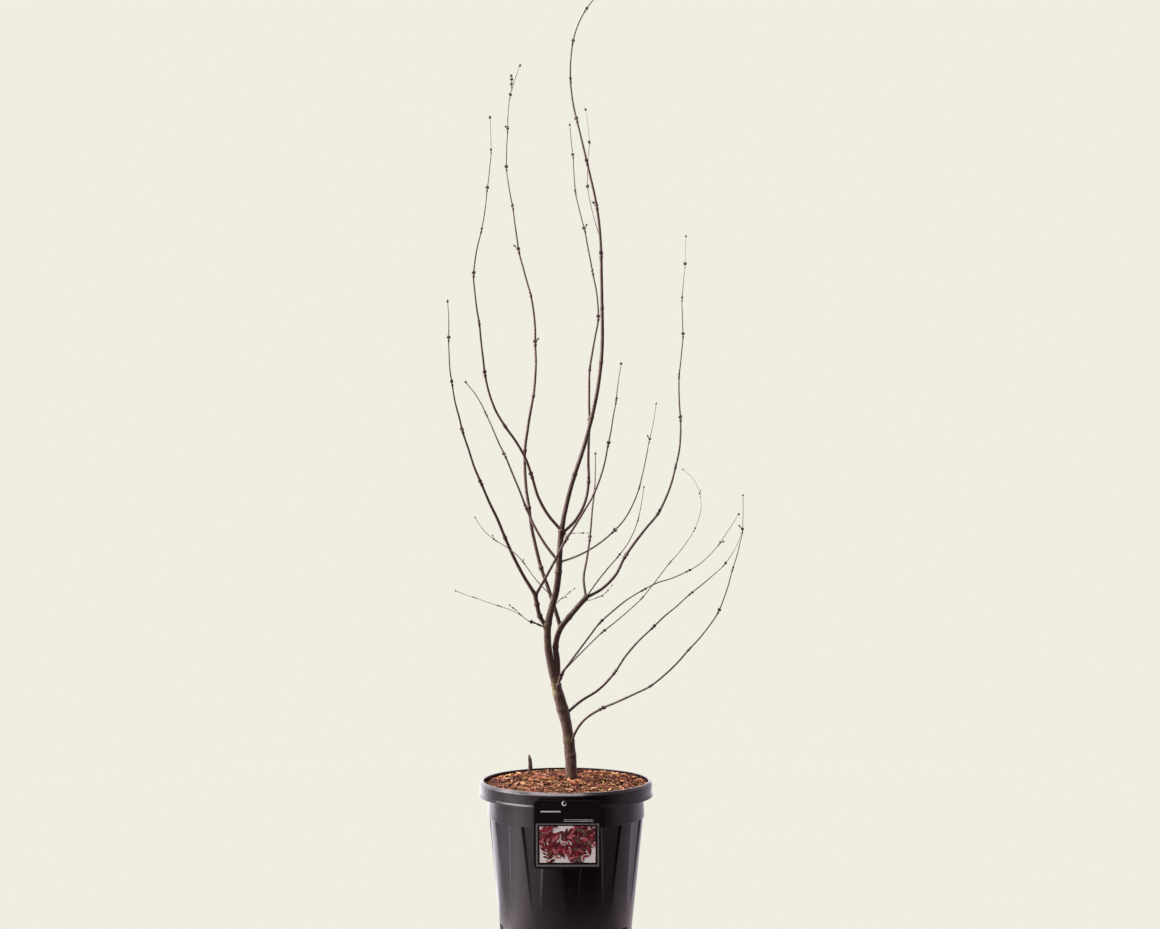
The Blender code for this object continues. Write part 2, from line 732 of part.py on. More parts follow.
def make_twigs(one, grown, before, collection):
    """The rest of a limb past its bough, with its shoots, spurs and pairs of buds."""
    name = one.limb.name + "_twigs"
    start = one.split()
    first = start + (GAP / one.limb.length if start else 0)
    path, radii = one.stretch(first, 1)
    radii[-1] = TIP_RADIUS
    stem = tube(name, path, radii, TWIG_SIDES, collection, "twig_bark")
    if start == 0:
        boolean(stem, "DIFFERENCE", [swollen(other, collection) for other in neighbours(one, before)])
        keep_largest_body(stem)
    rng = random.Random(SEED + list(grown).index(one.limb.name))
    others = [other.points for other in grown.values() if other is not one]
    pieces = []
    for shoot in SHOOTS:
        if shoot.limb == one.limb.name:
            foot, _ = point_at(one.points, one.shares, shoot.at)
            points, shares = walk(foot, shoot.length, shoot.side, (shoot.back,), ZIGZAG)
            shoot_radii = [SHOOT_RADIUS + (TIP_RADIUS - SHOOT_RADIUS) * s for s in shares]
            pieces.append(tube(name + "_shoot", points, shoot_radii, TWIG_SIDES, collection))
            others.append(points[1:])
    turn = rng.uniform(0, 180)
    for share in one.nodes[1:-1]:
        turn += 90 + rng.uniform(-BUD_TURN_SPREAD, BUD_TURN_SPREAD)
        if share < first + BARE_SHARE:
            continue
        place, along = point_at(one.points, one.shares, share + BUD_ABOVE_NODE / one.limb.length)
        grows = rng.random() < SPUR_CHANCE
        length = rng.uniform(*SPUR_LENGTHS)
        out = across(along, turn)
        rise = math.radians(SPUR_RISE)
        tip = place + (out * math.cos(rise) + along * math.sin(rise)) * length
        if grows and free_of((place.lerp(tip, 0.5), tip), others):
            pieces.append(spike(name + "_spur", place, tip, SPUR_RADIUS, TIP_RADIUS, collection))
        pieces += bud_pair(name + "_bud", place, along, turn, one.radius(share), collection)
    boolean(stem, "UNION", pieces)
    keep_largest_body(stem)
    shade_round(stem)


def make_cut_stem(collection):
    """The stub leans about as it rises, and its top is cut to a point."""
    x, y = STUB_PLACE
    foot = Vector((x, y, SOIL_EDGE_Z - STUB_SUNK))
    steps = len(STUB_RADII) - 1
    path = [foot]
    for i in range(steps):
        lean = between(STUB_LEANS, (i + 0.5) / steps)
        path.append(path[-1] + direction(lean, STUB_BACK) * (STUB_HEIGHT + STUB_SUNK) / steps)
    stub = tube("cut_stem", path, STUB_RADII, LEADER_SIDES, collection, "old_wood")
    ground = turned("ground", soil_profile(GAP), collection)
    bake(ground)
    weld(ground.data)
    boolean(stub, "DIFFERENCE", [ground])
    keep_largest_body(stub)
    shade_round(stub)


def main():
    clear_scene()
    plant = make_collection("potted_maple")
    make_pot(plant)
    make_soil(plant)
    make_label(plant)
    make_label_pin(plant)
    make_cut_stem(plant)
    grown = grow_limbs()
    before = []
    for one in grown.values():
        if one.split() > 0:
            make_bough(one, before, plant)
        if one.split() < 1:
            make_twigs(one, grown, before, plant)
        before.append(one)


main()
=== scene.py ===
"""The looks of a potted Japanese maple, bare in winter: its bark, buds, mulch, pot and label.

Metres, +Z up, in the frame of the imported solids: the origin is the middle of the pot's
flat underside, and the front, where the label hangs, faces -Y. Every new surface is
worked out as whole arrays: rings of points along a path, or rows of a turned profile.
"""

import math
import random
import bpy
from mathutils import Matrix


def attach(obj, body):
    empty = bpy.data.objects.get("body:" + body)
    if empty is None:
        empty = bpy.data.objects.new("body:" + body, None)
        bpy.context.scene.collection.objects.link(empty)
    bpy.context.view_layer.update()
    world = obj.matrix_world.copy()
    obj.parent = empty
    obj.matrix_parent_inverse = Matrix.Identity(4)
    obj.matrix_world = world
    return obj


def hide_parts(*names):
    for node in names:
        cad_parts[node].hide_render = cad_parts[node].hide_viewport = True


bl_info = {
    "name": "Potted Maple",
    "version": (1, 0, 0),
    "blender": (4, 5, 0),
    "location": "3D View > Sidebar > Maple",
    "description": "Dresses the solids of a bare potted maple with bark, buds, mulch, pot and label",
    "category": "Add Mesh",
}

from collections import namedtuple

import bpy
import numpy as np
from mathutils import Vector

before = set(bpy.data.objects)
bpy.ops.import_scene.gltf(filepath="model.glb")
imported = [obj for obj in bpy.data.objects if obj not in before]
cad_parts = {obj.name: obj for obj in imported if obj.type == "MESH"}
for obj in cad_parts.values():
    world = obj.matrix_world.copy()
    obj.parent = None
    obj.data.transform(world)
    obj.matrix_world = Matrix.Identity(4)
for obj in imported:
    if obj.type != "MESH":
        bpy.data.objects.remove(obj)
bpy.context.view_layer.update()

MM = 0.001
SEED = 31

# Pot: the sizes of the solid
POT_HEIGHT = 0.267
RIM_RADIUS = 0.151
RIM_DEPTH = 0.0265
RIM_WALL = 0.007
COLLAR_RADIUS = 0.1365
LEDGE_RADIUS = 0.1375
LEDGE_Z = 0.205
BODY_TOP_RADIUS = 0.1355
FOOT_RADIUS = 0.1145
WALL = 0.0045
FLOOR = 0.005
FLUTES = 12
FLUTE_ANGLE = 17.5
FLUTE_FIRST = 35.6
FLUTE_BOTTOM_Z = 0.055
FLUTE_BOTTOM_SHARE = 0.45
NOTCHES = 8
NOTCH_ANGLE = 20
NOTCH_FIRST = 12
NOTCH_HEIGHT = 0.020

# Soil: lowest along the rim, and flat where the trunk stands
SOIL_EDGE_Z = 0.2605
SOIL_TOP_Z = 0.2655
SOIL_PAD_RADIUS = 0.030

# Mulch: it stands a little above the solid's edge, and has slumped away from the rim on the left
MULCH_RADIUS = 0.1425
MULCH_EDGE_Z = 0.2620
MULCH_BOTTOM_Z = 0.244
SLUMP_BEARING = 185
SLUMP_SPREAD = 40
SLUMP_DEPTH = 0.009
CHIP_MOST = 0.0065

# Label: a card that hangs in front of the rim on a pin
LABEL_WIDTH = 0.112
LABEL_HEIGHT = 0.115
LABEL_TOP_Z = 0.2562
LABEL_X = 0.003
LABEL_CORNER = 0.006
LABEL_FRONT = -0.1533
PIN_PLACE = (-0.0015, 0.2510)
PIN_SHANK = 0.0020
PIN_HEAD = 0.0045

# Cut stem: a short old stub in the mulch
STUB_PLACE = (-0.0672, 0.100)
STUB_HEIGHT = 0.0355
STUB_SUNK = 0.006
STUB_LEANS = (12, 0, -10)
STUB_BACK = 2
STUB_RADII = (2.0, 2.4, 3.0, 3.3, 3.2, 2.5, 0.7)

# Trunk
TRUNK_X = 0.0105
TRUNK_RADII = (9.4, 10.5, 9.6, 10.4, 9.6)
FLARE = 1.2
FLARE_REACH = 0.014
TRUNK_SUNK = 0.008

# Limbs: on is the limb that carries this one, at the share of that limb's length.
# side and back are the leans from upright, in degrees at even places from foot to tip:
# side to the right as seen from the front, back away from the front. foot and tip are
# radii in millimetres. bough is the share of the length that is one plain tapering
# limb; twigs carry on from there to the tip.
Limb = namedtuple("Limb", "name on at length side back foot tip bough")
LIMBS = (
    Limb("trunk", None, 0, 0.17, (-3, -5, -14, -18), (1,), 9.4, 9.6, 1),
    Limb("left_leader", "trunk", 0.975, 0.28, (-14, -9, 18, 3, 5), (-4, -2), 7.2, 4.9, 1),
    Limb("right_leader", "trunk", 0.975, 0.175, (7, -7, 38, 43), (2, 4), 5.9, 4.6, 1),
    Limb("left_bough", "left_leader", 0.375, 0.066, (-36, -2), (-7,), 3.8, 3.6, 1),
    Limb("left_spur", "left_leader", 0.375, 0.046, (-57, -70), (-39,), 1.4, 1.1, 1),
    Limb("low_bough", "trunk", 0.875, 0.055, (-9, 29), (-29,), 2.7, 2.4, 1),
    Limb("top", "left_leader", 0.975, 0.995, (8, 19, 11, -1, -1, -13, -14, 8, 52), (1,), 4.3, 0.9, 0.4),
    Limb("top_left", "left_leader", 1, 0.75, (-43, -13, -40, -10, -9, -1, 15, 3, 1), (-7, -5), 2.8, 0.6, 0.4),
    Limb("top_right", "left_leader", 0.975, 0.765, (57, -4, 3, 8, -15, -9, -1), (10, 7), 2.8, 0.75, 0.4),
    Limb("back", "right_leader", 0.6, 1.05, (-14, -18, 2, 9, -13, -11, -1, 18), (10, 7), 3.6, 0.6, 0.4),
    Limb("left_outer", "left_bough", 1, 0.545, (-31, -20, -29, -14, -17, 3, -7), (-16, -12), 3.2, 0.65, 0.4),
    Limb("cross", "left_bough", 0.975, 0.455, (33, 30, 26, 5, 13), (-22, -18), 2.6, 0.65, 0.4),
    Limb("left_inner", "left_leader", 0.8, 0.365, (-39, -22, -27, -19, -45), (11, 8), 2.6, 0.85, 0.4),
    Limb("right_inner", "left_leader", 0.8, 0.36, (77, 55, 18, 14, 3), (-20, -15), 1.9, 0.5, 0.4),
    Limb("left_low", "left_leader", 0.575, 0.23, (-46, -30, -62, -22), (-34, -30), 0.9, 0.5, 0),
    Limb("spur_near", "left_spur", 1, 0.047, (-47,), (-25,), 0.6, 0.45, 0),
    Limb("spur_far", "left_spur", 1, 0.145, (-46, -75, -63), (-21,), 0.6, 0.45, 0),
    Limb("right_upright", "right_leader", 1, 0.27, (-12, 18, 0, 6, 3), (22, 15), 2.4, 0.9, 0.4),
    Limb("right_outer", "right_leader", 1, 0.725, (73, 29, 38, 20, -3, 4, 2, 2, 7), (13, 9), 2.8, 0.5, 0.4),
    Limb("right_fork", "right_leader", 1, 0.225, (36, 44, 18, 10), (-8,), 1.4, 0.55, 0),
    Limb("low_right", "trunk", 0.675, 0.465, (50, 63, 31, 43, 55, 49, 44, 23), (14, 9), 2.6, 0.45, 0.4),
    Limb("low_front", "trunk", 0.25, 0.61, (0, 62, 58, 41, 25, 10, 0), (-21, -16), 2.4, 0.5, 0.4),
    Limb("low_near", "low_bough", 1, 0.42, (39, 40, 49, 78, 38, 35), (-7,), 1.9, 0.45, 0.4),
    Limb("low_far", "low_bough", 1, 0.51, (48, 52, 45, 41, 23, -59), (29, 20), 1.3, 0.45, 0.4),
    Limb("leader_shoot", "left_leader", 0.5, 0.055, (40, 58), (15,), 0.65, 0.45, 0),
    Limb("fork_shoot", "left_leader", 0.96, 0.05, (68, 96), (-20,), 0.65, 0.45, 0),
    Limb("knob_shoot", "right_leader", 0.96, 0.065, (98, 62, 38), (25,), 0.65, 0.45, 0),
)

# Side shoots that show in the crown: the limb they leave, and where
Shoot = namedtuple("Shoot", "limb at length side back")
SHOOTS = (
    Shoot("top", 0.53, 0.24, (-16, -7, 2, -6), 10),
    Shoot("back", 0.955, 0.026, (0,), 4),
)

# Growth: buds stand in pairs, each pair a quarter turn on from the last, and some
# pairs have grown out into spurs
NODE_GAP = 0.085
NODE_GAP_SHRINK = 0.5
RINGS = 3
TRUNK_RINGS = 4
ZIGZAG = 3.0
SHOOT_RADIUS = 0.9
BUD_FEET = (1.2, 1.6, 2.3, 3.0)
BUD_LENGTHS = (0.55, 0.72, 0.82, 1)
BUD_WIDTHS = (0.5, 0.68, 0.8, 1)
SPUR_LENGTHS = (0.005, 0.010)
SPUR_RISE = 52
SPUR_CHANCE = 0.15
SPUR_RADIUS = 0.75
TIP_RADIUS = 0.45
BUD_ABOVE_NODE = 0.004
CLEAR = 0.006
GAP = 0.3 * MM
LEADER_LEAST = 4.0
FRONT = np.array((0.0, 1.0, 0.0))


# Meshes from arrays

Skin = namedtuple("Skin", "points quads tris")


def skins(rings, first, last):
    """Closed skins, many at once.

    rings is (skins, rings, sides, channels), where the first three channels are a place
    and any more are marks for the material. first and last are the poles beyond the end
    rings, (skins, channels). Ring joins to ring by quads, and triangles fan out from the
    poles. Faces point outwards where the angle turns right-handed about the path.
    """
    rings, first, last = np.asarray(rings), np.asarray(first), np.asarray(last)
    many, count, sides, channels = rings.shape
    body = np.arange(count * sides).reshape(count, sides)
    turned = np.roll(body, -1, axis=1)
    quads = np.stack([body[:-1], turned[:-1], turned[1:], body[1:]], axis=-1).reshape(-1, 4)
    low = np.stack([np.full(sides, count * sides), turned[0], body[0]], axis=-1)
    high = np.stack([np.full(sides, count * sides + 1), body[-1], turned[-1]], axis=-1)
    flat = rings.reshape(many, count * sides, channels)
    points = np.concatenate([flat, first[:, None], last[:, None]], axis=1)
    start = (np.arange(many) * (count * sides + 2))[:, None, None]
    return Skin(
        points.reshape(-1, channels),
        (quads + start).reshape(-1, 4),
        (np.concatenate([low, high]) + start).reshape(-1, 3),
    )


def joined(parts):
    """Many skins as one, each one's corner numbers moved past those before it."""
    starts = np.cumsum([0] + [len(part.points) for part in parts[:-1]])
    return Skin(
        np.concatenate([part.points for part in parts]),
        np.concatenate([part.quads + start for part, start in zip(parts, starts)]),
        np.concatenate([part.tris + start for part, start in zip(parts, starts)]),
    )


def make_piece(name, skin, finish, nodes=(), sharp=40):
    """Puts a skin into a mesh, hangs it on the root, and hides the solid's nodes that it stands for."""
    mesh = bpy.data.meshes.new(name)
    mesh.vertices.add(len(skin.points))
    mesh.vertices.foreach_set("co", skin.points[:, :3].ravel())
    corners = np.concatenate([skin.quads.ravel(), skin.tris.ravel()])
    sizes = np.repeat([4, 3], [len(skin.quads), len(skin.tris)])
    mesh.loops.add(len(corners))
    mesh.loops.foreach_set("vertex_index", corners.astype(np.int32))
    mesh.polygons.add(len(sizes))
    mesh.polygons.foreach_set("loop_start", (np.cumsum(sizes) - sizes).astype(np.int32))
    mesh.update(calc_edges=True)
    if skin.points.shape[1] > 3:
        marks = skin.points[:, 3:]
        for mark, values in (("straight", marks[:, :3]), ("age", marks[:, 3])):
            kind = "FLOAT_VECTOR" if values.ndim > 1 else "FLOAT"
            layer = mesh.attributes.new(mark, kind, "POINT")
            layer.data.foreach_set("vector" if values.ndim > 1 else "value", values.ravel())
    mesh.shade_smooth()
    mesh.set_sharp_from_angle(angle=math.radians(sharp))
    mesh.materials.append(finish)
    piece = bpy.data.objects.new(name, mesh)
    bpy.context.scene.collection.objects.link(piece)
    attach(piece, "root")
    if nodes:
        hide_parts(*nodes)
    return piece


def ripple(rng, along, turn, pitch, around):
    """Smooth noise on a tube, from -1 to 1.

    Random values stand on a lattice with a cell each pitch of the length and so many in
    a turn. A point takes a mix of its four neighbours, by 3 t squared - 2 t cubed.
    """
    u = along / pitch - np.min(along / pitch)
    v = (turn / (2 * np.pi) * around) % around
    lattice = rng.uniform(-1, 1, (int(np.max(u)) + 3, around))
    i, j = np.floor(u).astype(int), np.floor(v).astype(int) % around
    s, t = u - np.floor(u), v - np.floor(v)
    s, t = s * s * (3 - 2 * s), t * t * (3 - 2 * t)
    k = (j + 1) % around
    low = lattice[i, j] * (1 - t) + lattice[i, k] * t
    high = lattice[i + 1, j] * (1 - t) + lattice[i + 1, k] * t
    return low * (1 - s) + high * s


def revolved(radius, height, turn, first_z, last_z):
    """A turned skin: point i, j is (radius[i, j] cos turn[j], radius[i, j] sin turn[j], height[i, j])."""
    ring = np.stack([radius * np.cos(turn), radius * np.sin(turn), height + 0 * radius], axis=-1)
    return skins(ring[None], [(0, 0, first_z)], [(0, 0, last_z)])


def arc(centre, radius, first, last, count):
    """Points of an arc in (radius, height), its angles in degrees from outwards to up."""
    angle = np.radians(np.linspace(first, last, count))
    return np.stack([centre[0] + radius * np.cos(angle), centre[1] + radius * np.sin(angle)], axis=-1)


def run(start, end, count):
    """Even points on a straight run, with both ends."""
    return np.linspace(start, end, count)


def step(value, low, high):
    """0 below low and 1 above high, smooth between."""
    t = np.clip((value - low) / (high - low), 0, 1)
    return t * t * (3 - 2 * t)


# How limbs grow: the rule of the solids


def direction(side, back):
    """Unit vectors that lean side degrees to the right and back degrees away."""
    a, b = np.radians(side), np.radians(back)
    return np.stack([np.sin(a) * np.cos(b), np.sin(b) + 0 * a, np.cos(a) * np.cos(b)], axis=-1)


def between(values, share):
    """The value at a share of an even row of values, straight between its neighbours."""
    return np.interp(share, np.linspace(0, 1, len(values)), values)


def node_shares(length):
    """The places of the nodes along a limb, whose gaps shrink towards the tip."""
    count = max(3, round(length / NODE_GAP))
    gaps = 1 - NODE_GAP_SHRINK * (np.arange(count) + 0.5) / count
    return np.concatenate([[0], np.cumsum(gaps) / np.sum(gaps)])


def walk(foot, length, side, back, zigzag, rings=RINGS):
    """The corners of a limb and the share of its length at each: the sum of its steps' leans."""
    nodes = node_shares(length)
    part = np.repeat(np.diff(nodes) / rings, rings)
    ends = np.cumsum(part)
    swing = np.repeat(np.where(np.arange(len(nodes) - 1) % 2, zigzag, -zigzag), rings)
    middle = ends - part / 2
    steps = direction(between(side, middle) + swing, between(back, middle) - swing)
    points = foot + np.cumsum(steps * (part * length)[:, None], axis=0)
    return np.vstack([foot, points]), np.concatenate([[0], ends])


Grown = namedtuple("Grown", "limb points shares nodes")


def point_at(points, shares, share):
    """The point at a share of the corners' length."""
    return np.array([np.interp(share, shares, points[:, axis]) for axis in range(3)])


def grow_limbs():
    grown = {}
    for limb in LIMBS:
        if limb.on is None:
            foot = np.array((TRUNK_X, 0, SOIL_TOP_Z + GAP))
        else:
            carrier = grown[limb.on]
            foot = point_at(carrier.points, carrier.shares, limb.at)
        zigzag = ZIGZAG if limb.foot < LEADER_LEAST else 0
        rings = TRUNK_RINGS if limb.on is None else RINGS
        points, shares = walk(foot, limb.length, limb.side, limb.back, zigzag, rings)
        grown[limb.name] = Grown(limb, points, shares, node_shares(limb.length))
    return grown


def split_share(one):
    """The share where the bough ends and the twigs carry on."""
    if one.limb.bough in (0, 1):
        return one.limb.bough
    middles = (one.shares[:-1] + one.shares[1:]) / 2
    return middles[np.argmin(np.abs(middles - one.limb.bough))]


def curve_at(points, shares, wanted):
    """Points on the cubic curves through the corners, and the unit directions there.

    Between two corners the curve is the Hermite cubic whose end slopes are those of the
    corners on either side.
    """
    slope = np.gradient(points, shares, axis=0)
    i = np.clip(np.searchsorted(shares, wanted, side="right") - 1, 0, len(shares) - 2)
    gap = (shares[i + 1] - shares[i])[:, None]
    t = ((wanted - shares[i]) / gap[:, 0])[:, None]
    ahead = points[i + 1] - points[i]
    place = (
        points[i]
        + ahead * (3 * t**2 - 2 * t**3)
        + slope[i] * gap * (t - 2 * t**2 + t**3)
        + slope[i + 1] * gap * (t**3 - t**2)
    )
    along = ahead * (6 * t - 6 * t**2) + gap * (
        slope[i] * (1 - 4 * t + 3 * t**2) + slope[i + 1] * (3 * t**2 - 2 * t)
    )
    return place, along / np.linalg.norm(along, axis=-1, keepdims=True)


def frames(along):
    """Two unit vectors square to each direction and to each other, all three right-handed."""
    right = np.cross(along, FRONT)
    right /= np.linalg.norm(right, axis=-1, keepdims=True)
    return right, np.cross(along, right)


def across(along, turn):
    """The unit vector square to the limb, turned about it by this many degrees."""
    right, away = frames(along)
    return right * math.cos(math.radians(turn)) + away * math.sin(math.radians(turn))


def limb_radius(limb, share):
    """The limb's bare radius in metres at a share of its length."""
    if limb.on is None:
        return (between(TRUNK_RADII, share) + FLARE * np.exp(-share * limb.length / FLARE_REACH)) * MM
    return (limb.foot + (limb.tip - limb.foot) * share) * MM


def bark_age(radius):
    """0 on a young tip and 1 on the trunk's foot, by the logarithm of the radius."""
    return np.clip(np.log(radius / (0.45 * MM)) / np.log(10 / 0.45), 0, 1)


# Bark and twigs


def end_caps(path, along, radius, first_length, last_length, count=3):
    """Rings and poles that close both ends as half ellipses, each so long."""
    angle = np.radians(90 - 90 * np.arange(1, count + 1) / (count + 1))
    out, drop = np.cos(np.radians(90) - angle), np.cos(angle)
    low = path[0] - along[0] * first_length * drop[::-1, None]
    high = path[-1] + along[-1] * last_length * drop[:, None]
    radii = np.concatenate([radius[0] * out[::-1], radius, radius[-1] * out])
    rings = np.vstack([low, path, high])
    ways = np.vstack([along[:1].repeat(count, 0), along, along[-1:].repeat(count, 0)])
    return rings, ways, radii, path[0] - along[0] * first_length, path[-1] + along[-1] * last_length


def tube(path, along, radius, relief, length, offset, ends):
    """A round skin along a path: ring i is path[i] + (radius[i] + relief[i, j]) * (cos, sin) of turn j.

    Each point is marked with where it would lie on a straight limb, and with the bark's age.
    """
    sides = relief.shape[1]
    path, along, radius, first, last = end_caps(path, along, radius, *ends)
    pad = (len(path) - len(relief)) // 2
    relief = np.pad(relief, ((pad, pad), (0, 0)))
    turn = np.arange(sides) * 2 * np.pi / sides
    right, away = frames(along)
    out = right[:, None] * np.cos(turn)[:, None] + away[:, None] * np.sin(turn)[:, None]
    place = path[:, None] + out * (radius[:, None] + relief)[..., None]
    height = np.linspace(0, length, len(path))[:, None] + 0 * turn
    straight = np.stack([
        radius[:, None] * np.cos(turn) + offset,
        radius[:, None] * np.sin(turn),
        height,
    ], axis=-1)
    age = np.broadcast_to(bark_age(np.maximum(radius, 0.3 * MM))[:, None, None], place.shape[:2] + (1,))
    rings = np.concatenate([place, straight, age], axis=-1)
    poles = [np.concatenate([pole, ring.mean(axis=0)]) for pole, ring in ((first, rings[0, :, 3:]), (last, rings[-1, :, 3:]))]
    return skins(rings[None], poles[:1], poles[1:])


def swelling(one, share, bark):
    """How much wider than bare the limb is: a ring at each node and a collar at its foot."""
    limb = one.limb
    bare = limb_radius(limb, share)
    slim = 1 - bark_age(bare)
    nodes = one.nodes[1:-1, None]
    ring = np.exp(-(((share - nodes) * limb.length / (bark.node_reach + 0.25 * bare)) ** 2))
    knobbly = 0.25 if limb.foot >= LEADER_LEAST else 0.8
    wide = 1 + (bark.node_swell * (knobbly + slim) + 0.4 * MM * slim / bare) * np.max(ring, axis=0)
    collar = bark.collar * (1 if limb.foot < LEADER_LEAST else 0.5)
    if limb.on is None:
        wide = wide - 0.25 * step(share, 0.9, 1)
    else:
        wide = wide + collar * np.exp(-share * limb.length / (1.4 * limb.foot * MM))
    if limb.bough == 1 and limb.on is not None:
        wide = wide + bark.fork_swell * np.exp(-(((1 - share) * limb.length / (1.6 * limb.tip * MM)) ** 2))
    return wide


def bumps(one, children, share, turn):
    """Where a limb leaves its carrier, the carrier swells: a rise of both sides' bell curves."""
    rise = np.zeros((len(share), len(turn)))
    for child in children:
        foot = child.limb.foot * MM
        place, along = curve_at(one.points, one.shares, np.array([child.limb.at]))
        right, away = frames(along)
        lean = child.points[1] - child.points[0]
        centre = np.arctan2(lean @ away[0], lean @ right[0])
        off = (np.degrees(turn - centre) + 180) % 360 - 180
        high = (share - child.limb.at) * one.limb.length - foot
        rise += 0.5 * foot * np.exp(-((high / (1.5 * foot)) ** 2))[:, None] * np.exp(-((off / 50) ** 2))
    return rise


def limb_skin(one, start, end, children, bark, rng, sides, pitch):
    """The skin of a limb between two shares of its length, with the relief of its bark."""
    limb = one.limb
    length = limb.length * (end - start)
    share = np.linspace(start, end, max(6, round(length / pitch)) + 1)
    path, along = curve_at(one.points, one.shares, share)
    radius = limb_radius(limb, share)
    turn = np.arange(sides) * 2 * np.pi / sides
    height = (share * limb.length)[:, None] + 0 * turn
    round_turn = turn + 0 * height
    furrows = ripple(rng, height, round_turn, 0.035, 6) + 0.6 * ripple(rng, height, round_turn, 0.011, 9)
    grain = ripple(rng, height, round_turn, 0.004, max(6, sides // 3))
    relief = bark.relief * radius[:, None] * (0.055 * furrows + 0.02 * grain)
    relief += (radius * (swelling(one, share, bark) - 1))[:, None]
    relief += bumps(one, [c for c in children if start <= c.limb.at <= end], share, turn)
    if limb.on is None:
        lobes = np.cos(5 * turn + 0.6) + 0.6 * np.cos(3 * turn - 1)
        relief += 0.5 * MM * np.exp(-height / 0.015) * lobes
    last = radius[-1] * (0.9 if end < 1 or limb.bough == 1 else 1.6)
    first = TRUNK_SUNK if limb.on is None else radius[0] * 0.6
    return tube(path, along, radius, relief, length, rng.uniform(0, 9), (first, last))


def shoot_skin(foot, length, side, back, radii, bark, rng):
    """A thin shoot with rings at its nodes, and its corners."""
    points, shares = walk(foot, length, side, back, ZIGZAG)
    limb = Limb("shoot", "shoot", 0, length, side, back, *radii, 0)
    one = Grown(limb, points, shares, node_shares(length))
    return one, limb_skin(one, 0, 1, [], bark, rng, TWIG_SIDES, TWIG_PITCH)


def nearest(point, path):
    """The least distance from a point to a path of straight runs."""
    run_of = np.diff(path, axis=0)
    part = np.sum((point - path[:-1]) * run_of, axis=1) / np.maximum(np.sum(run_of**2, axis=1), 1e-12)
    return np.min(np.linalg.norm(path[:-1] + run_of * np.clip(part, 0, 1)[:, None] - point, axis=1))


def free_of(points, others):
    return all(nearest(point, path) > CLEAR for point in points for path in others)


Bud = namedtuple("Bud", "foot axis length width")


def bud_pair(buds, place, along, turn, radius, settings):
    """Two buds on opposite sides of the stem, just above a node."""
    out = across(along, turn)
    rise = settings.rise
    for way in (-1, 1):
        axis = out * way * math.cos(rise) + along * math.sin(rise)
        length = settings.length + 0.4 * radius
        width = max(settings.length * settings.stoutness, 1.1 * radius)
        buds.append(Bud(place + out * way * radius * 0.55, axis, length, width))


def end_buds(buds, tip, along, turn, settings):
    """A tip ends in two buds close together, which look like one knob."""
    out = across(along, turn)
    for way in (-1, 1):
        axis = along * 0.98 + out * way * 0.17
        buds.append(Bud(tip + out * way * 0.4 * MM, axis, settings.length, settings.length * settings.stoutness * 0.85))


def grow_twigs(grown, bark, settings):
    """The twig skins, past each bough's end, and the list of their buds."""
    parts, buds = [], []
    for index, one in enumerate(grown.values()):
        limb = one.limb
        start = split_share(one)
        rng = np.random.default_rng(SEED + 100 + index)
        if start > 0:
            dormant_buds(buds, one, start, settings, index)
        if start == 1:
            continue
        earlier = len(buds)
        parts.append(limb_skin(one, start, 1, [], bark, rng, TWIG_SIDES, TWIG_PITCH))
        draw = random.Random(SEED + index)
        others = [other.points for other in grown.values() if other is not one]
        for shoot in SHOOTS:
            if shoot.limb == limb.name:
                foot = point_at(one.points, one.shares, shoot.at)
                radii = (SHOOT_RADIUS, TIP_RADIUS + 0.1)
                branch, skin = shoot_skin(foot, shoot.length, shoot.side, (shoot.back,), radii, bark, rng)
                parts.append(skin)
                others.append(branch.points[1:])
                shoot_buds(buds, branch, settings, index)
        first = start + (GAP / limb.length if start else 0)
        turn = draw.uniform(0, 180)
        for share in one.nodes[1:-1]:
            turn += 90 + draw.uniform(-15, 15)
            if share < first + 0.02:
                continue
            place, along = curve_at(one.points, one.shares, np.array([share + BUD_ABOVE_NODE / limb.length]))
            place, along = place[0], along[0]
            grows = draw.random() < SPUR_CHANCE
            length = draw.uniform(*SPUR_LENGTHS)
            out = across(along, turn)
            rise = math.radians(SPUR_RISE)
            lean = out * math.cos(rise) + along * math.sin(rise)
            tip = place + lean * length
            radius = limb_radius(limb, share)
            if grows and free_of(((place + tip) / 2, tip), others):
                parts.append(spur_skin(place, lean, length, radius, rng))
                end_buds(buds, tip, lean, turn + 90, settings)
            bud_pair(buds, place, along, turn, radius, settings)
        tip, along = curve_at(one.points, one.shares, np.array([1.0]))
        end_buds(buds, tip[0], along[0], turn + 90, settings)
        longer, wider = np.interp(limb.foot, BUD_FEET, BUD_LENGTHS), np.interp(limb.foot, BUD_FEET, BUD_WIDTHS)
        buds[earlier:] = [bud._replace(length=bud.length * longer, width=bud.width * wider) for bud in buds[earlier:]]
    return joined(parts), buds


def dormant_buds(buds, one, end, settings, index):
    """Small buds at the nodes of a bough, which its solid leaves plain."""
    draw = random.Random(SEED * 2 + index)
    turn = draw.uniform(0, 180)
    for share in one.nodes[1:-1]:
        turn += 90 + draw.uniform(-15, 15)
        radius = limb_radius(one.limb, share)
        if share < end and radius < DORMANT_MOST:
            place, along = curve_at(one.points, one.shares, np.array([share + BUD_ABOVE_NODE / one.limb.length]))
            bud_pair(buds, place[0], along[0], turn, radius, settings)


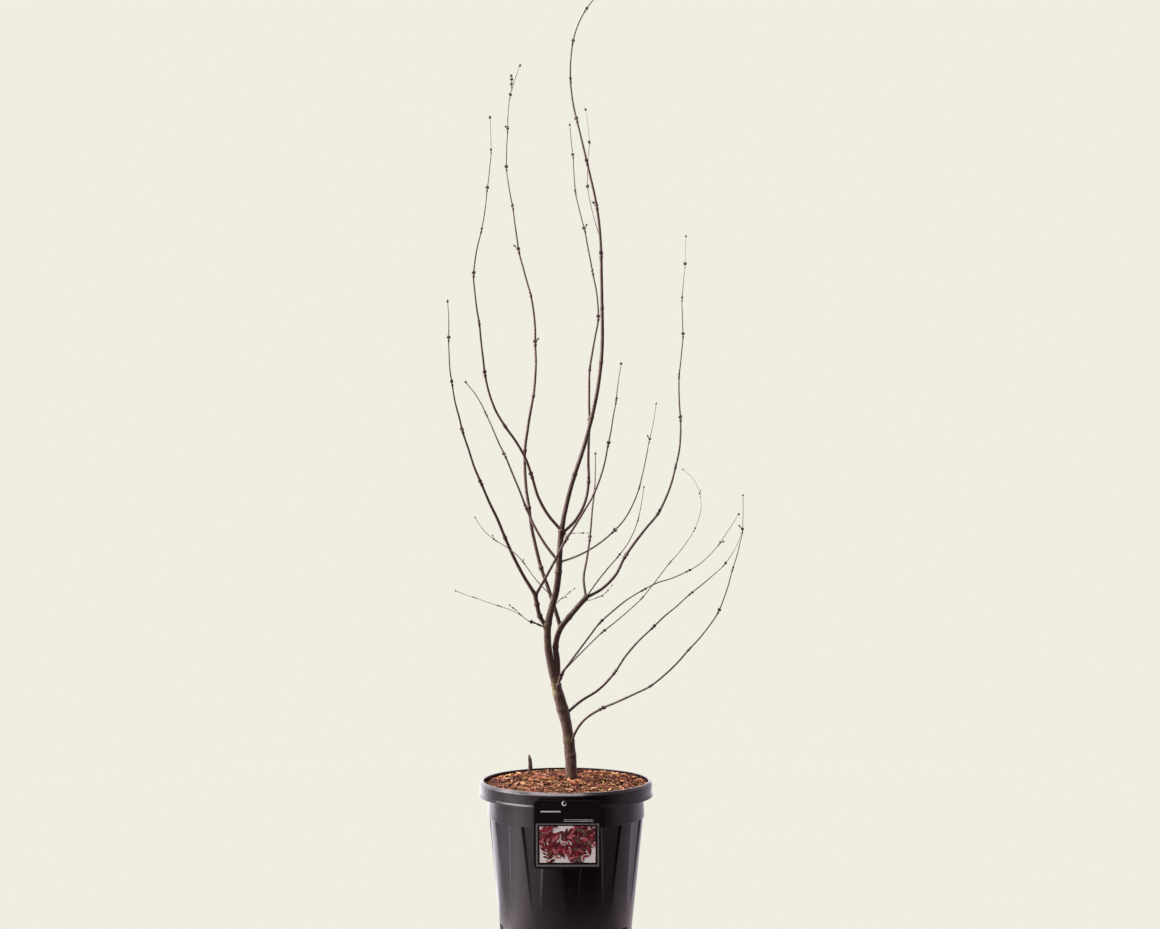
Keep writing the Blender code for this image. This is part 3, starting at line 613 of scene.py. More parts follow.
def shoot_buds(buds, one, settings, index):
    draw = random.Random(SEED * 3 + index)
    turn = draw.uniform(0, 180)
    for share in one.nodes[1:-1]:
        turn += 90 + draw.uniform(-15, 15)
        place, along = curve_at(one.points, one.shares, np.array([share]))
        bud_pair(buds, place[0], along[0], turn, limb_radius(one.limb, share), settings)
    tip, along = curve_at(one.points, one.shares, np.array([1.0]))
    end_buds(buds, tip[0], along[0], turn, settings)


def spur_skin(place, lean, length, radius, rng):
    """A short spur, ringed by its old bud scars."""
    share = np.linspace(0, 1, 13)
    path = place + lean * (share * length)[:, None]
    along = np.broadcast_to(lean, path.shape)
    wide = np.where(np.arange(13) % 3 == 1, 1.18, 1.0)
    radii = (SPUR_RADIUS + (TIP_RADIUS - SPUR_RADIUS) * 0.5 * share) * MM * wide
    radii = radii + 0.5 * radius * np.exp(-share * length / radius)
    return tube(path, along, radii, np.zeros((13, TWIG_SIDES)), length, rng.uniform(0, 9), (0.5 * MM, 0.5 * MM))


def bud_skins(buds, rng):
    """Pointed ovals: the width at t of the length is width / 2 * sin(pi t^0.62), with a scale's edge at mid-length."""
    foot = np.array([bud.foot for bud in buds])
    axis = np.array([bud.axis / np.linalg.norm(bud.axis) for bud in buds])
    length = np.array([bud.length for bud in buds])[:, None] * rng.uniform(0.85, 1.1, (len(buds), 1))
    width = np.array([bud.width for bud in buds])[:, None] * rng.uniform(0.9, 1.1, (len(buds), 1))
    t = np.array((0.06, 0.22, 0.42, 0.5, 0.72, 0.9))
    bulge = np.sin(np.pi * t**0.62) * np.array((1, 1, 1, 0.93, 1, 1.05))
    turn = np.arange(7) * 2 * np.pi / 7
    right, away = frames(axis)
    out = right[:, None] * np.cos(turn)[:, None] + away[:, None] * np.sin(turn)[:, None]
    centre = foot[:, None] + axis[:, None] * (t * length)[..., None]
    rings = centre[:, :, None] + out[:, None] * (width / 2 * bulge)[..., None, None]
    marks = np.zeros(rings.shape[:3] + (4,))
    marks[..., 2] = rng.uniform(0, 5, (len(buds), 1, 1)) + (t * length)[..., None]
    marks[..., 3] = t[:, None]
    rings = np.concatenate([rings, marks], axis=-1)
    first = np.concatenate([foot, marks[:, 0, 0]], axis=-1)
    last = np.concatenate([foot + axis * length, marks[:, -1, 0]], axis=-1)
    return skins(rings, first, last)


def lenticel_skins(grown, rng, count, least):
    """Low oval grains on the bark, longest across the limb: domes of half a sphere, squashed."""
    wide = [one for one in grown.values() if one.limb.foot > least]
    weights = np.array([one.limb.length * one.limb.foot for one in wide])
    picks = rng.choice(len(wide), count, p=weights / weights.sum())
    rings, first, last = [], [], []
    turn = np.arange(6) * 2 * np.pi / 6
    for index, one in enumerate(wide):
        many = int(np.sum(picks == index))
        if many == 0:
            continue
        share = rng.uniform(0.03, max(0.1, split_share(one)) - 0.02, many)
        path, along = curve_at(one.points, one.shares, share)
        right, away = frames(along)
        angle = rng.uniform(0, 2 * np.pi, (many, 1))
        out = right * np.cos(angle) + away * np.sin(angle)
        side = np.cross(along, out)
        radius = limb_radius(one.limb, share)[:, None]
        base = path + out * radius * 1.0
        size = rng.uniform(0.35, 0.75, (many, 1)) * MM
        oval = side[:, None] * np.cos(turn)[:, None] * 1.5 + along[:, None] * np.sin(turn)[:, None] * 0.7
        low = base[:, None] + oval * size[:, None]
        high = base[:, None] + oval * size[:, None] * 0.62 + out[:, None] * size[:, None] * 0.42
        rings.append(np.stack([high, low], axis=1)[:, ::-1])
        first.append(base - out * size * 0.4)
        last.append(base + out * size * 0.55)
    return skins(np.concatenate(rings), np.concatenate(first), np.concatenate(last))


# Pot


def pot_profile():
    """Rows of (radius, height) from the underside's middle up the outer side, over the rim and down inside."""
    rim_foot = POT_HEIGHT - RIM_DEPTH
    return np.vstack([
        run((0.03, 0.004), (FOOT_RADIUS - 0.007, 0.004), 4),
        arc((FOOT_RADIUS - 0.004, 0.0025), 0.0025, 200, 270, 4),
        arc((FOOT_RADIUS - 0.0022, 0.002), 0.002, 275, 355, 5),
        run((body_radius(0.004), 0.004), (body_radius(0.0192), 0.0192), 5),
        run((body_radius(0.0198), 0.0198), (body_radius(0.0206), 0.0206), 2),
        run((body_radius(0.024), 0.024), (body_radius(LEDGE_Z - 0.011), LEDGE_Z - 0.011), 43),
        run((body_radius(LEDGE_Z - 0.008), LEDGE_Z - 0.008), (body_radius(LEDGE_Z - 0.0015), LEDGE_Z - 0.0015), 5),
        arc((LEDGE_RADIUS - 0.0009, LEDGE_Z + 0.0006), 0.0009, -80, 0, 4),
        run((LEDGE_RADIUS, LEDGE_Z + 0.002), (COLLAR_RADIUS, rim_foot - 0.001), 8),
        arc((COLLAR_RADIUS + 0.0015, rim_foot - 0.0012), 0.0015, 180, 90, 4),
        run((COLLAR_RADIUS + 0.005, rim_foot + 0.0003), (RIM_RADIUS - 0.0008, rim_foot), 3),
        arc((RIM_RADIUS + 0.0004, rim_foot + 0.0010), 0.0010, -80, 20, 6),
        run((RIM_RADIUS + 0.0013, rim_foot + 0.0017), (RIM_RADIUS - 0.0005, rim_foot + 0.0051), 5),
        run((RIM_RADIUS - 0.0006, rim_foot + 0.0060), (RIM_RADIUS + 0.0002, POT_HEIGHT - 0.0066), 6),
        arc((RIM_RADIUS - 0.0018, POT_HEIGHT - 0.0058), 0.0020, 0, 35, 4),
        run((RIM_RADIUS - 0.0005, POT_HEIGHT - 0.0042), (RIM_RADIUS - 0.0037, POT_HEIGHT - 0.0008), 5),
        run((RIM_RADIUS - 0.0042, POT_HEIGHT - 0.0002), (RIM_RADIUS - RIM_WALL + 0.002, POT_HEIGHT - 0.0001), 3),
        arc((RIM_RADIUS - RIM_WALL + 0.0012, POT_HEIGHT - 0.0013), 0.0012, 90, 180, 5),
        run((RIM_RADIUS - RIM_WALL, POT_HEIGHT - 0.003), (RIM_RADIUS - RIM_WALL, POT_HEIGHT - 0.016), 6),
        run((COLLAR_RADIUS - WALL, rim_foot), (BODY_TOP_RADIUS - WALL, LEDGE_Z), 3),
        run((FOOT_RADIUS - WALL, FLOOR + 0.004), (0.05, FLOOR + 0.004), 3),
    ])


def body_radius(z):
    """The outside radius of the pot's body, which tapers evenly to its foot."""
    return FOOT_RADIUS + (BODY_TOP_RADIUS - FOOT_RADIUS) * z / LEDGE_Z


def pot_skin(settings):
    """The turned profile, with its flutes and foot notches pressed in by an amount for each angle and height."""
    profile = pot_profile()
    rows = len(profile)
    azimuth = np.arange(settings.columns) * 360 / settings.columns
    radius, z = profile[:, :1], profile[:, 1:]
    outside = (np.arange(rows) > 11)[:, None] & (radius < RIM_RADIUS) & (z < LEDGE_Z - 0.0005)
    outside &= np.arange(rows)[:, None] < rows - 12
    off = np.abs((azimuth - FLUTE_FIRST + 180 / FLUTES) % (360 / FLUTES) - 180 / FLUTES)
    rise = np.clip((z - FLUTE_BOTTOM_Z) / (LEDGE_Z - FLUTE_BOTTOM_Z), 0, 1)
    half = FLUTE_ANGLE / 2 * (FLUTE_BOTTOM_SHARE + (1 - FLUTE_BOTTOM_SHARE) * rise)
    bowl = 1 + 0.7 * (1 - np.clip(off / half, 0, 1) ** 2)
    flute = settings.flute_depth * rise**0.85 * bowl * step(half - off, -0.7, 1.0)
    off = np.abs((azimuth - NOTCH_FIRST + 180 / NOTCHES) % (360 / NOTCHES) - 180 / NOTCHES)
    narrow = 1 - 0.2 * np.clip(z / NOTCH_HEIGHT, 0, 1)
    notch = settings.notch_depth * step(NOTCH_ANGLE / 2 * narrow - off, -0.15, 0.35)
    notch = notch * (z < NOTCH_HEIGHT) * (np.arange(rows)[:, None] > 3)
    low_rows = (np.arange(rows)[:, None] > 3) & (np.arange(rows)[:, None] < rows - 12)
    pressed = radius - np.where(outside, flute, 0) - np.where(low_rows, notch, 0)
    turn = np.radians(azimuth - 90)
    wave = 0.25 * MM * np.cos(2 * turn + 0.7) * step(z, 0.2, POT_HEIGHT)
    return revolved(pressed + np.where(radius > 0.1, wave, 0), z + 0 * turn, turn, 0.004, FLOOR + 0.004)


# Mulch


def soil_height(radius, bearing):
    """The mulch's top: level in the middle, falling to its edge, and slumped along the rim about one bearing."""
    height = np.interp(radius, (SOIL_PAD_RADIUS, MULCH_RADIUS), (SOIL_TOP_Z, MULCH_EDGE_Z))
    off = (np.degrees(bearing) - SLUMP_BEARING + 180) % 360 - 180
    return height - SLUMP_DEPTH * np.exp(-((off / SLUMP_SPREAD) ** 2)) * step(radius, MULCH_RADIUS - 0.018, MULCH_RADIUS)


def compost_skin(rng):
    """The dark bed under the chips: the mulch's top sunk a little, with humps of smooth noise."""
    turn = np.arange(120) * 2 * np.pi / 120
    radius = np.linspace(0.004, MULCH_RADIUS, 44)[:, None] + 0 * turn
    humps = ripple(rng, radius, turn + 0 * radius, 0.009, 30) + ripple(rng, radius, turn + 0 * radius, 0.02, 13)
    top = soil_height(radius, turn) - 3.4 * MM + 0.9 * MM * humps
    under = np.full((1, 120), COLLAR_RADIUS - WALL - MM)
    radius = np.vstack([under * 0.5, under, radius[::-1]])
    height = np.vstack([np.full((2, 120), MULCH_BOTTOM_Z), top[::-1]])
    return revolved(radius, height, turn, MULCH_BOTTOM_Z, float(top[0].mean()))


def chip_skins(rng, count, size, slim, lift):
    """Slivers of bark: four uneven rings of four corners each, bent a little, lying as they fell.

    A chip's middle lies at the mulch's radius * sqrt(random), its axis at any bearing and
    tipped up to about a third of a right angle. Near the rim chips lie flatter, and the
    pot's wall holds their corners in.
    slim is the least and most width as shares of the length.
    """
    radius = (MULCH_RADIUS - 0.003) * np.sqrt(rng.uniform(0, 1, count))
    bearing = rng.uniform(0, 2 * np.pi, count)
    length = size * rng.lognormal(0, 0.34, count)
    width = length * rng.uniform(*slim, count)
    thick = width * rng.uniform(0.3, 0.7, count)
    heading = rng.uniform(0, 2 * np.pi, count)
    calm = 1 - 0.65 * step(radius, MULCH_RADIUS - 0.03, MULCH_RADIUS - 0.01)
    pitch = np.radians(rng.normal(0, 14, count)) * calm
    roll = np.radians(rng.normal(0, 24, count))
    along = np.stack([np.cos(heading) * np.cos(pitch), np.sin(heading) * np.cos(pitch), np.sin(pitch)], -1)
    side = np.stack([-np.sin(heading), np.cos(heading), 0 * heading], -1)
    up = np.cross(along, side)
    side, up = (
        side * np.cos(roll)[:, None] + up * np.sin(roll)[:, None],
        up * np.cos(roll)[:, None] - side * np.sin(roll)[:, None],
    )
    t = np.array((-0.5, -0.2, 0.18, 0.5))
    taper = rng.uniform((0.25, 0.75, 0.7, 0.15), (0.8, 1.1, 1.05, 0.6), (count, 4))
    bend = rng.normal(0, 0.09, (count, 1)) * length[:, None] * (1 - 4 * t**2)
    bow = rng.normal(0, 0.11, (count, 1)) * length[:, None] * (1 - 4 * t**2)
    corner = np.array(((1, 0.7), (-0.8, 1), (-1, -0.8), (0.7, -1)))
    shake = rng.uniform(0.75, 1.25, (count, 4, 4, 2))
    spot = corner * shake * taper[..., None, None] / 2
    level = soil_height(radius, bearing) + lift * calm * rng.uniform(-1, 1, count)
    middle = np.stack([radius * np.cos(bearing), radius * np.sin(bearing), level], -1)
    rings = (
        middle[:, None, None]
        + along[:, None, None] * (t * length[:, None])[..., None, None]
        + (up[:, None] * bend[..., None] + side[:, None] * bow[..., None])[:, :, None]
        + side[:, None, None] * (spot[..., 0] * width[:, None, None])[..., None]
        + up[:, None, None] * (spot[..., 1] * thick[:, None, None])[..., None]
    )
    away = np.linalg.norm(rings[..., :2], axis=-1, keepdims=True)
    rings[..., :2] *= np.minimum(1, (MULCH_RADIUS + MM) / away)
    rings[..., 2] = np.minimum(rings[..., 2], (soil_height(radius, bearing) + CHIP_MOST * calm)[:, None, None])
    grain = np.stack([
        spot[..., 0] * width[:, None, None] + rng.uniform(0, 1, (count, 1, 1)),
        spot[..., 1] * thick[:, None, None] + rng.uniform(0, 1, (count, 1, 1)),
        np.broadcast_to((t * length[:, None])[..., None], spot.shape[:3]),
        np.broadcast_to(rng.uniform(0, 1, (count, 1, 1)), spot.shape[:3]),
    ], axis=-1)
    rings = np.concatenate([rings, grain], axis=-1)
    return skins(rings, rings[:, 0].mean(axis=1), rings[:, -1].mean(axis=1))


# Label


def plate(outline, front, thickness, bevel=0.12 * MM):
    """Flat plates from outlines (plates, points, 2) in x and z, fanned from their middles, fronts facing -Y."""
    outline = np.asarray(outline)
    middle = outline.mean(axis=1, keepdims=True)
    reach = np.linalg.norm(outline - middle, axis=-1, keepdims=True)
    inner = middle + (outline - middle) * (1 - bevel / reach)
    rows = []
    for flat, y in ((outline, front + thickness), (outline, front + min(bevel, thickness / 2)), (inner, front)):
        rows.append(np.stack([flat[..., 0], np.full(flat.shape[:2], y), flat[..., 1]], axis=-1))
    rings = np.stack(rows, axis=1)
    return skins(rings, rings[:, 0].mean(axis=1), rings[:, -1].mean(axis=1))


def box_outline(centre, width, height, corner=0.0, count=5):
    """An upright rectangle whose corners are arcs, anticlockwise as seen from the front."""
    points = []
    for number, (x, z) in enumerate(((1, -1), (1, 1), (-1, 1), (-1, -1))):
        angle = np.radians(np.linspace(-90, 0, count) + 90 * number)
        x, z = x * (width / 2 - corner), z * (height / 2 - corner)
        points.append(np.stack([x + corner * np.cos(angle), z + corner * np.sin(angle)], axis=-1))
    return np.concatenate(points)[None] + np.asarray(centre)


def leaf_outlines(rng, places, angles, length, width):
    """Pointed ovals: the half width at t of the length is width / 2 * sin(pi t) ^ 0.8."""
    t = np.linspace(0, 1, 8)
    half = width / 2 * np.sin(np.pi * t) ** 0.8
    shape = np.concatenate([np.stack([t * length, -half], -1)[:-1], np.stack([t * length, half], -1)[:0:-1]])
    size = rng.uniform(0.75, 1.15, (len(places), 1, 1))
    cos, sin = np.cos(angles)[:, None], np.sin(angles)[:, None]
    shape = shape * size
    x = shape[..., 0] * cos - shape[..., 1] * sin
    z = shape[..., 0] * sin + shape[..., 1] * cos
    return np.stack([x, z], axis=-1) + np.asarray(places)[:, None]


# Cut stem, label and pin


def stub_skin(rng):
    """The old stub: a rough tube that leans about and ends in a ragged point."""
    steps = 30
    share = np.linspace(0, 1, steps + 1)
    lean = direction(between(STUB_LEANS, share), np.full(steps + 1, STUB_BACK))
    length = STUB_HEIGHT + STUB_SUNK
    foot = np.array((*STUB_PLACE, SOIL_EDGE_Z - STUB_SUNK))
    path = foot + np.vstack([np.zeros(3), np.cumsum((lean[1:] + lean[:-1]) / 2 * length / steps, axis=0)])
    radius = between(STUB_RADII, share) * MM
    turn = np.arange(28) * 2 * np.pi / 28
    height = (share * length)[:, None] + 0 * turn
    round_turn = turn + 0 * height
    rough = ripple(rng, height, round_turn, 0.009, 5) + 0.7 * ripple(rng, height, round_turn, 0.003, 11)
    tear = 0.9 * MM * step(share, 0.8, 1)[:, None] * np.cos(3 * turn)
    relief = 0.5 * MM + 0.12 * radius[:, None] * rough + np.minimum(tear, radius[:, None] * 0.4)
    return tube(path, lean, radius, relief, length, 0.0, (0.001, 0.0015))


# The label's print: how far the plates stand in front of the card
INK = 0.12 * MM
FRAME_PLACE, FRAME_SIZE = (0.0036, 0.1809), (0.1058, 0.0722)
GAP_PLACE, GAP_SIZE = (0.0036, 0.1816), (0.1006, 0.0668)
PICTURE_PLACE, PICTURE_SIZE = (0.0036, 0.1822), (0.094, 0.0613)
TITLE_PLACE, TITLE_SIZE = (-0.0249, 0.2372), (0.034, 0.0021)
LINE_PLACES, LINE_SIZE = ((0.0221, 0.2234), (0.0221, 0.2208)), (0.050, 0.0007)


def sprig(rng, foot, heading, bend, length, pairs):
    """Places and angles of leaflets in pairs along a curved stalk, and one at its tip."""
    t = np.linspace(0.12, 1, pairs)
    angle = heading + bend * t
    run_to = np.cumsum(np.stack([np.cos(angle), np.sin(angle)], -1) * (length / pairs), axis=0) + foot
    spots = np.concatenate([run_to, run_to, run_to[-1:]])
    open_by = np.radians(52) * (1 - 0.35 * t)
    angles = np.concatenate([angle + open_by, angle - open_by, angle[-1:]])
    return spots, angles + rng.uniform(-0.12, 0.12, len(angles))


SPRIG_COLUMNS, SPRIG_ROWS = 8, 5
SPRIG_LENGTH, SPRIG_PAIRS = 0.020, 4
LEAFLET = (0.0125, 0.0042)
LEAF_SHARES = (0.44, 0.32, 0.16, 0.08)
LEAF_COLOURS = (
    ("deep", (0.085, 0.010, 0.017)),
    ("crimson", None),
    ("rose", (0.50, 0.12, 0.15)),
    ("olive", (0.12, 0.085, 0.040)),
)


def make_label(settings, rng):
    """A black card with a thin grey frame, a leafy picture and plain rules in place of its lines of text."""
    front = LABEL_FRONT
    card = plate(box_outline((LABEL_X, LABEL_TOP_Z - LABEL_HEIGHT / 2), LABEL_WIDTH, LABEL_HEIGHT, LABEL_CORNER), front, 0.001)
    make_piece("card", card, print_finish("Card", tuple(settings.card), 0.38, gloss=0.22), ("label",), 30)
    layers = (
        ("card_frame", FRAME_PLACE, FRAME_SIZE, print_finish("Grey ink", (0.16, 0.15, 0.15))),
        ("card_gap", GAP_PLACE, GAP_SIZE, print_finish("Black ink", (0.010, 0.008, 0.009), gloss=0.22)),
        ("card_picture", PICTURE_PLACE, PICTURE_SIZE, blush_finish()),
    )
    for number, (name, spot, size, finish) in enumerate(layers):
        skin = plate(box_outline(spot, *size, 0.0012), front - INK * (number + 1), INK * (number + 1) + 0.0002)
        make_piece(name, skin, finish, sharp=30)
    rules = [plate(box_outline(TITLE_PLACE, *TITLE_SIZE, 0.0006), front - INK, 0.0004)]
    rules += [plate(box_outline(spot, *LINE_SIZE, 0.0003), front - INK, 0.0004, 0.06 * MM) for spot in LINE_PLACES]
    make_piece("card_rules", joined(rules), print_finish("Pale ink", (0.72, 0.70, 0.68)), sharp=30)
    leaves = {name: [] for name, _ in LEAF_COLOURS}
    low = np.array(PICTURE_PLACE) - np.array(PICTURE_SIZE) / 2
    for number in range(SPRIG_COLUMNS * SPRIG_ROWS):
        cell = np.array((number % SPRIG_COLUMNS, number // SPRIG_COLUMNS)) + rng.uniform(0.0, 0.9, 2)
        foot = low + np.array(PICTURE_SIZE) * cell / (SPRIG_COLUMNS, SPRIG_ROWS)
        spots, angles = sprig(rng, foot, rng.uniform(0, 2 * np.pi), rng.uniform(-0.8, 0.8), SPRIG_LENGTH, SPRIG_PAIRS)
        picks = rng.choice(4, len(spots), p=LEAF_SHARES)
        outlines = leaf_outlines(rng, spots, angles, *LEAFLET)
        outlines = np.clip(outlines, low, low + np.array(PICTURE_SIZE))
        for pick, (name, _) in enumerate(LEAF_COLOURS):
            if np.any(picks == pick):
                near = front - INK * (4 + 0.07 * (number * 4 + pick))
                leaves[name].append(plate(outlines[picks == pick], near, 0.0001 + front - near, 0.05 * MM))
    for name, colour in LEAF_COLOURS:
        finish = print_finish("Leaf, " + name, colour or tuple(settings.leaf), mottle=0.3, size=0.003)
        make_piece(name + "_leaves", joined(leaves[name]), finish, sharp=30)


def make_pin():
    """The pin's dished head, and a pale bead that runs most of the way round it: a painted glint on the edge of the
    head.
    """
    x, z = PIN_PLACE
    profile = np.vstack([
        run((PIN_SHANK, 0.0100), (PIN_SHANK, 0.0002), 3),
        run((PIN_HEAD - 0.0003, 0.0), (PIN_HEAD, -0.0004), 3),
        arc((PIN_HEAD - 0.0006, -0.0009), 0.0006, 0, -150, 7),
        run((PIN_HEAD * 0.6, -0.0008), (PIN_HEAD * 0.2, -0.0006), 3),
    ])
    turn = np.arange(40) * 2 * np.pi / 40
    head = revolved(profile[:, :1] + 0 * turn, profile[:, 1:] + 0 * turn, turn, 0.0104, -0.0006)
    place = head.points
    turned = np.stack([x + place[:, 0], LABEL_FRONT + place[:, 2], z + place[:, 1]], axis=-1)
    make_piece("pin_head", Skin(turned, head.quads, head.tris), print_finish("Pin plastic", (0.03, 0.028, 0.03), 0.3), ("label_pin",), 50)
    # Painted glint: the pale bead stands for the crescent of light on the rim of the dark head
    share = np.linspace(0, 1, 40)
    angle = np.radians(100 + 230 * share)
    reach = PIN_HEAD - 0.0009
    path = np.stack([x + reach * np.cos(angle), LABEL_FRONT - 0.0016 + 0 * angle, z + reach * np.sin(angle)], -1)
    along = np.stack([-np.sin(angle), 0 * angle, np.cos(angle)], -1)
    radius = 0.95 * MM * np.sin(np.pi * np.clip(share, 0.03, 0.97)) ** 0.6
    bead = tube(path, along, radius, np.zeros((40, 10)), 0.02, 0.0, (0.0003, 0.0003))
    make_piece("pin_painted_glint", bead, print_finish("Pin painted glint", (0.8, 0.79, 0.77), 0.3), sharp=60)


# Stage

LENS = 63.155
SENSOR = 36.0
CAMERA_PLACE = (0.0246, -3.57, 0.820)
LAMP_COLOUR = (1.0, 0.97, 0.94)
FLOOR_RADIUS = 2.2

# How bright the room is to the plant by bearing: 0 and 1 behind, 0.25 left, 0.5 in front, 0.75 right.
# Close round the pot the floor is lit as well. Matt surfaces take only a share of the glow.
ROOM_GLOW = (
    (0.0, (2.40, 2.25, 2.40)),
    (0.10, (2.90, 2.70, 2.90)),
    (0.14, (2.20, 2.05, 2.20)),
    (0.17, (0.80, 0.72, 0.82)),
    (0.24, (0.95, 0.86, 0.92)),
    (0.295, (2.20, 2.02, 2.08)),
    (0.345, (1.50, 1.33, 1.34)),
    (0.397, (0.50, 0.42, 0.43)),
    (0.458, (0.30, 0.22, 0.23)),
    (0.51, (0.06, 0.03, 0.04)),
    (0.61, (0.05, 0.02, 0.04)),
    (0.67, (0.16, 0.10, 0.13)),
    (0.72, (0.50, 0.40, 0.46)),
    (0.78, (0.50, 0.40, 0.48)),
    (0.86, (0.75, 0.65, 0.76)),
    (0.93, (0.90, 0.80, 0.92)),
    (1.0, (2.40, 2.25, 2.40)),
)
FOOT_GLOW = (0.42, 0.36, 0.32)
MATT_SHARE = 0.35


def bearing_glow(tree, place, stops):
    """A colour for each bearing from the middle of the scene: -1 to 1 is a full turn, 0 in front, minus on the left."""
    way = tree.nodes.new("ShaderNodeSeparateXYZ")
    tree.links.new(place, way.inputs[0])
    turn = reckon(tree, "ARCTAN2", way.outputs["X"], reckon(tree, "MULTIPLY", way.outputs["Y"], -1))
    glow = ramp(tree, spread(tree, turn, -math.pi, math.pi), stops)
    mirrored = tree.nodes.new("ShaderNodeLightPath").outputs["Is Glossy Ray"]
    return blended(tree, 1.0, glow, ramp(tree, mirrored, ((0, 3 * (MATT_SHARE,)), (1, (1, 1, 1)))), "MULTIPLY")


def make_floor(settings):
    """A pale floor that fades out towards its edge, so that no line shows behind the plant.

    The camera sees it evenly lit. The plant sees pools of light on it.
    """
    turn = np.arange(96) * 2 * np.pi / 96
    radius = np.array((0.05, 0.3, 0.8, 1.4, FLOOR_RADIUS))[:, None]
    skin = revolved(radius[::-1] + 0 * turn, 0 * radius + 0 * turn, turn, -0.001, 0.0)
    finish, tree, shader = start_finish("Floor", 0.9)
    seen = tree.nodes.new("ShaderNodeLightPath").outputs["Is Camera Ray"]
    length = tree.nodes.new("ShaderNodeVectorMath")
    length.operation = "LENGTH"
    tree.links.new(places(tree), length.inputs[0])
    away = length.outputs["Value"]
    near = spread(tree, away, 0.13, 0.36, 1, 0)
    glow = blended(tree, near, bearing_glow(tree, places(tree), ROOM_GLOW), FOOT_GLOW, "ADD")
    shader.inputs["Base Color"].default_value = (0, 0, 0, 1)
    shader.inputs["Specular IOR Level"].default_value = 0.0
    shader.inputs["Emission Strength"].default_value = 1.0
    tree.links.new(blended(tree, seen, glow, tuple(settings.backdrop)), shader.inputs["Emission Color"])
    fade = spread(tree, away, FLOOR_RADIUS * 0.35, FLOOR_RADIUS * 0.98, 1, 0)
    tree.links.new(fade, shader.inputs["Alpha"])
    mesh = bpy.data.meshes.new("floor")
    mesh.from_pydata(skin.points.tolist(), [], skin.quads.tolist() + skin.tris[96:].tolist())
    mesh.materials.append(finish)
    floor = bpy.data.objects.new("floor", mesh)
    bpy.context.scene.collection.objects.link(floor)


def make_backdrop(settings):
    """The world: an even pale backdrop in the picture, and to the plant dark in front and bright behind."""
    world = bpy.data.worlds.new("Studio")
    bpy.context.scene.world = world
    world.use_nodes = True
    tree = world.node_tree
    behind = tree.nodes["Background"]
    way = tree.nodes.new("ShaderNodeTexCoord").outputs["Generated"]
    tree.links.new(bearing_glow(tree, way, ROOM_GLOW), behind.inputs["Color"])
    seen = tree.nodes.new("ShaderNodeBackground")
    seen.inputs["Color"].default_value = (*settings.backdrop, 1)
    rays = tree.nodes.new("ShaderNodeLightPath")
    mix = tree.nodes.new("ShaderNodeMixShader")
    tree.links.new(rays.outputs["Is Camera Ray"], mix.inputs[0])
    tree.links.new(behind.outputs[0], mix.inputs[1])
    tree.links.new(seen.outputs[0], mix.inputs[2])
    tree.links.new(mix.outputs[0], tree.nodes["World Output"].inputs["Surface"])


def make_light(name, place, aim, size, power, fill=False):
    """A soft rectangular light that faces a point. A fill light leaves no glint."""
    light = bpy.data.lights.new(name, "AREA")
    light.shape = "RECTANGLE"
    light.size, light.size_y = size
    light.energy = power
    light.color = LAMP_COLOUR
    lamp = bpy.data.objects.new(name, light)
    lamp.visible_glossy = not fill
    bpy.context.scene.collection.objects.link(lamp)
    lamp.location = place
    lamp.rotation_euler = (Vector(aim) - Vector(place)).to_track_quat("-Z", "Y").to_euler()


def make_lights(settings):
    make_light("side_light", (-1.72, -0.12, 1.60), (0, 0, 0.3), (1.9, 0.9), settings.side_light)
    make_light("rim_light", (-1.70, 0.40, 0.95), (0, 0, 0.80), (0.7, 1.5), settings.rim_light, fill=True)
    make_light("front_fill", (-0.7, -2.6, 0.9), (0, 0, 0.4), (1.2, 1.2), settings.front_light, fill=True)
    make_light("top_light", (-0.45, -0.60, 2.8), (-0.45, -0.60, 0), (2.3, 0.9), settings.top_light)


def make_camera(scene):
    """The camera at the photograph's viewing angle: level, in front and a little above mid-height."""
    lens = bpy.data.cameras.new("camera")
    lens.lens = LENS
    lens.sensor_width = SENSOR
    lens.sensor_fit = "HORIZONTAL"
    camera = bpy.data.objects.new("camera", lens)
    scene.collection.objects.link(camera)
    camera.location = CAMERA_PLACE
    camera.rotation_euler = (math.radians(90), 0, 0)
    scene.camera = camera


# Materials: short ways to add nodes


def start_finish(name, roughness, gloss=0.5):
    """A new material with its node tree and shader."""
    finish = bpy.data.materials.new(name)
    finish.use_nodes = True
    shader = finish.node_tree.nodes["Principled BSDF"]
    shader.inputs["Roughness"].default_value = roughness
    shader.inputs["Specular IOR Level"].default_value = gloss
    return finish, finish.node_tree, shader


def put(tree, socket, value):
    """Links the value where it is a socket itself, and otherwise sets it."""
    if isinstance(value, bpy.types.NodeSocket):
        tree.links.new(value, socket)
    else:
        socket.default_value = value


def places(tree):
    """The place on the object, in metres."""
    return tree.nodes.new("ShaderNodeTexCoord").outputs["Object"]


def marks(tree, name, output="Vector"):
    """A mark that the mesh keeps at each point."""
    node = tree.nodes.new("ShaderNodeAttribute")
    node.attribute_name = name
    return node.outputs[output]


def stretched(tree, vector, scale):
    node = tree.nodes.new("ShaderNodeMapping")
    put(tree, node.inputs["Vector"], vector)
    put(tree, node.inputs["Scale"], scale)
    return node.outputs["Vector"]


def noise(tree, vector, size, detail=3.0, roughness=0.5):
    """Noise whose features are about this many metres apart."""
    node = tree.nodes.new("ShaderNodeTexNoise")
    put(tree, node.inputs["Vector"], vector)
    put(tree, node.inputs["Scale"], 1 / size)
    put(tree, node.inputs["Detail"], detail)
    put(tree, node.inputs["Roughness"], roughness)
    return node.outputs["Fac"]


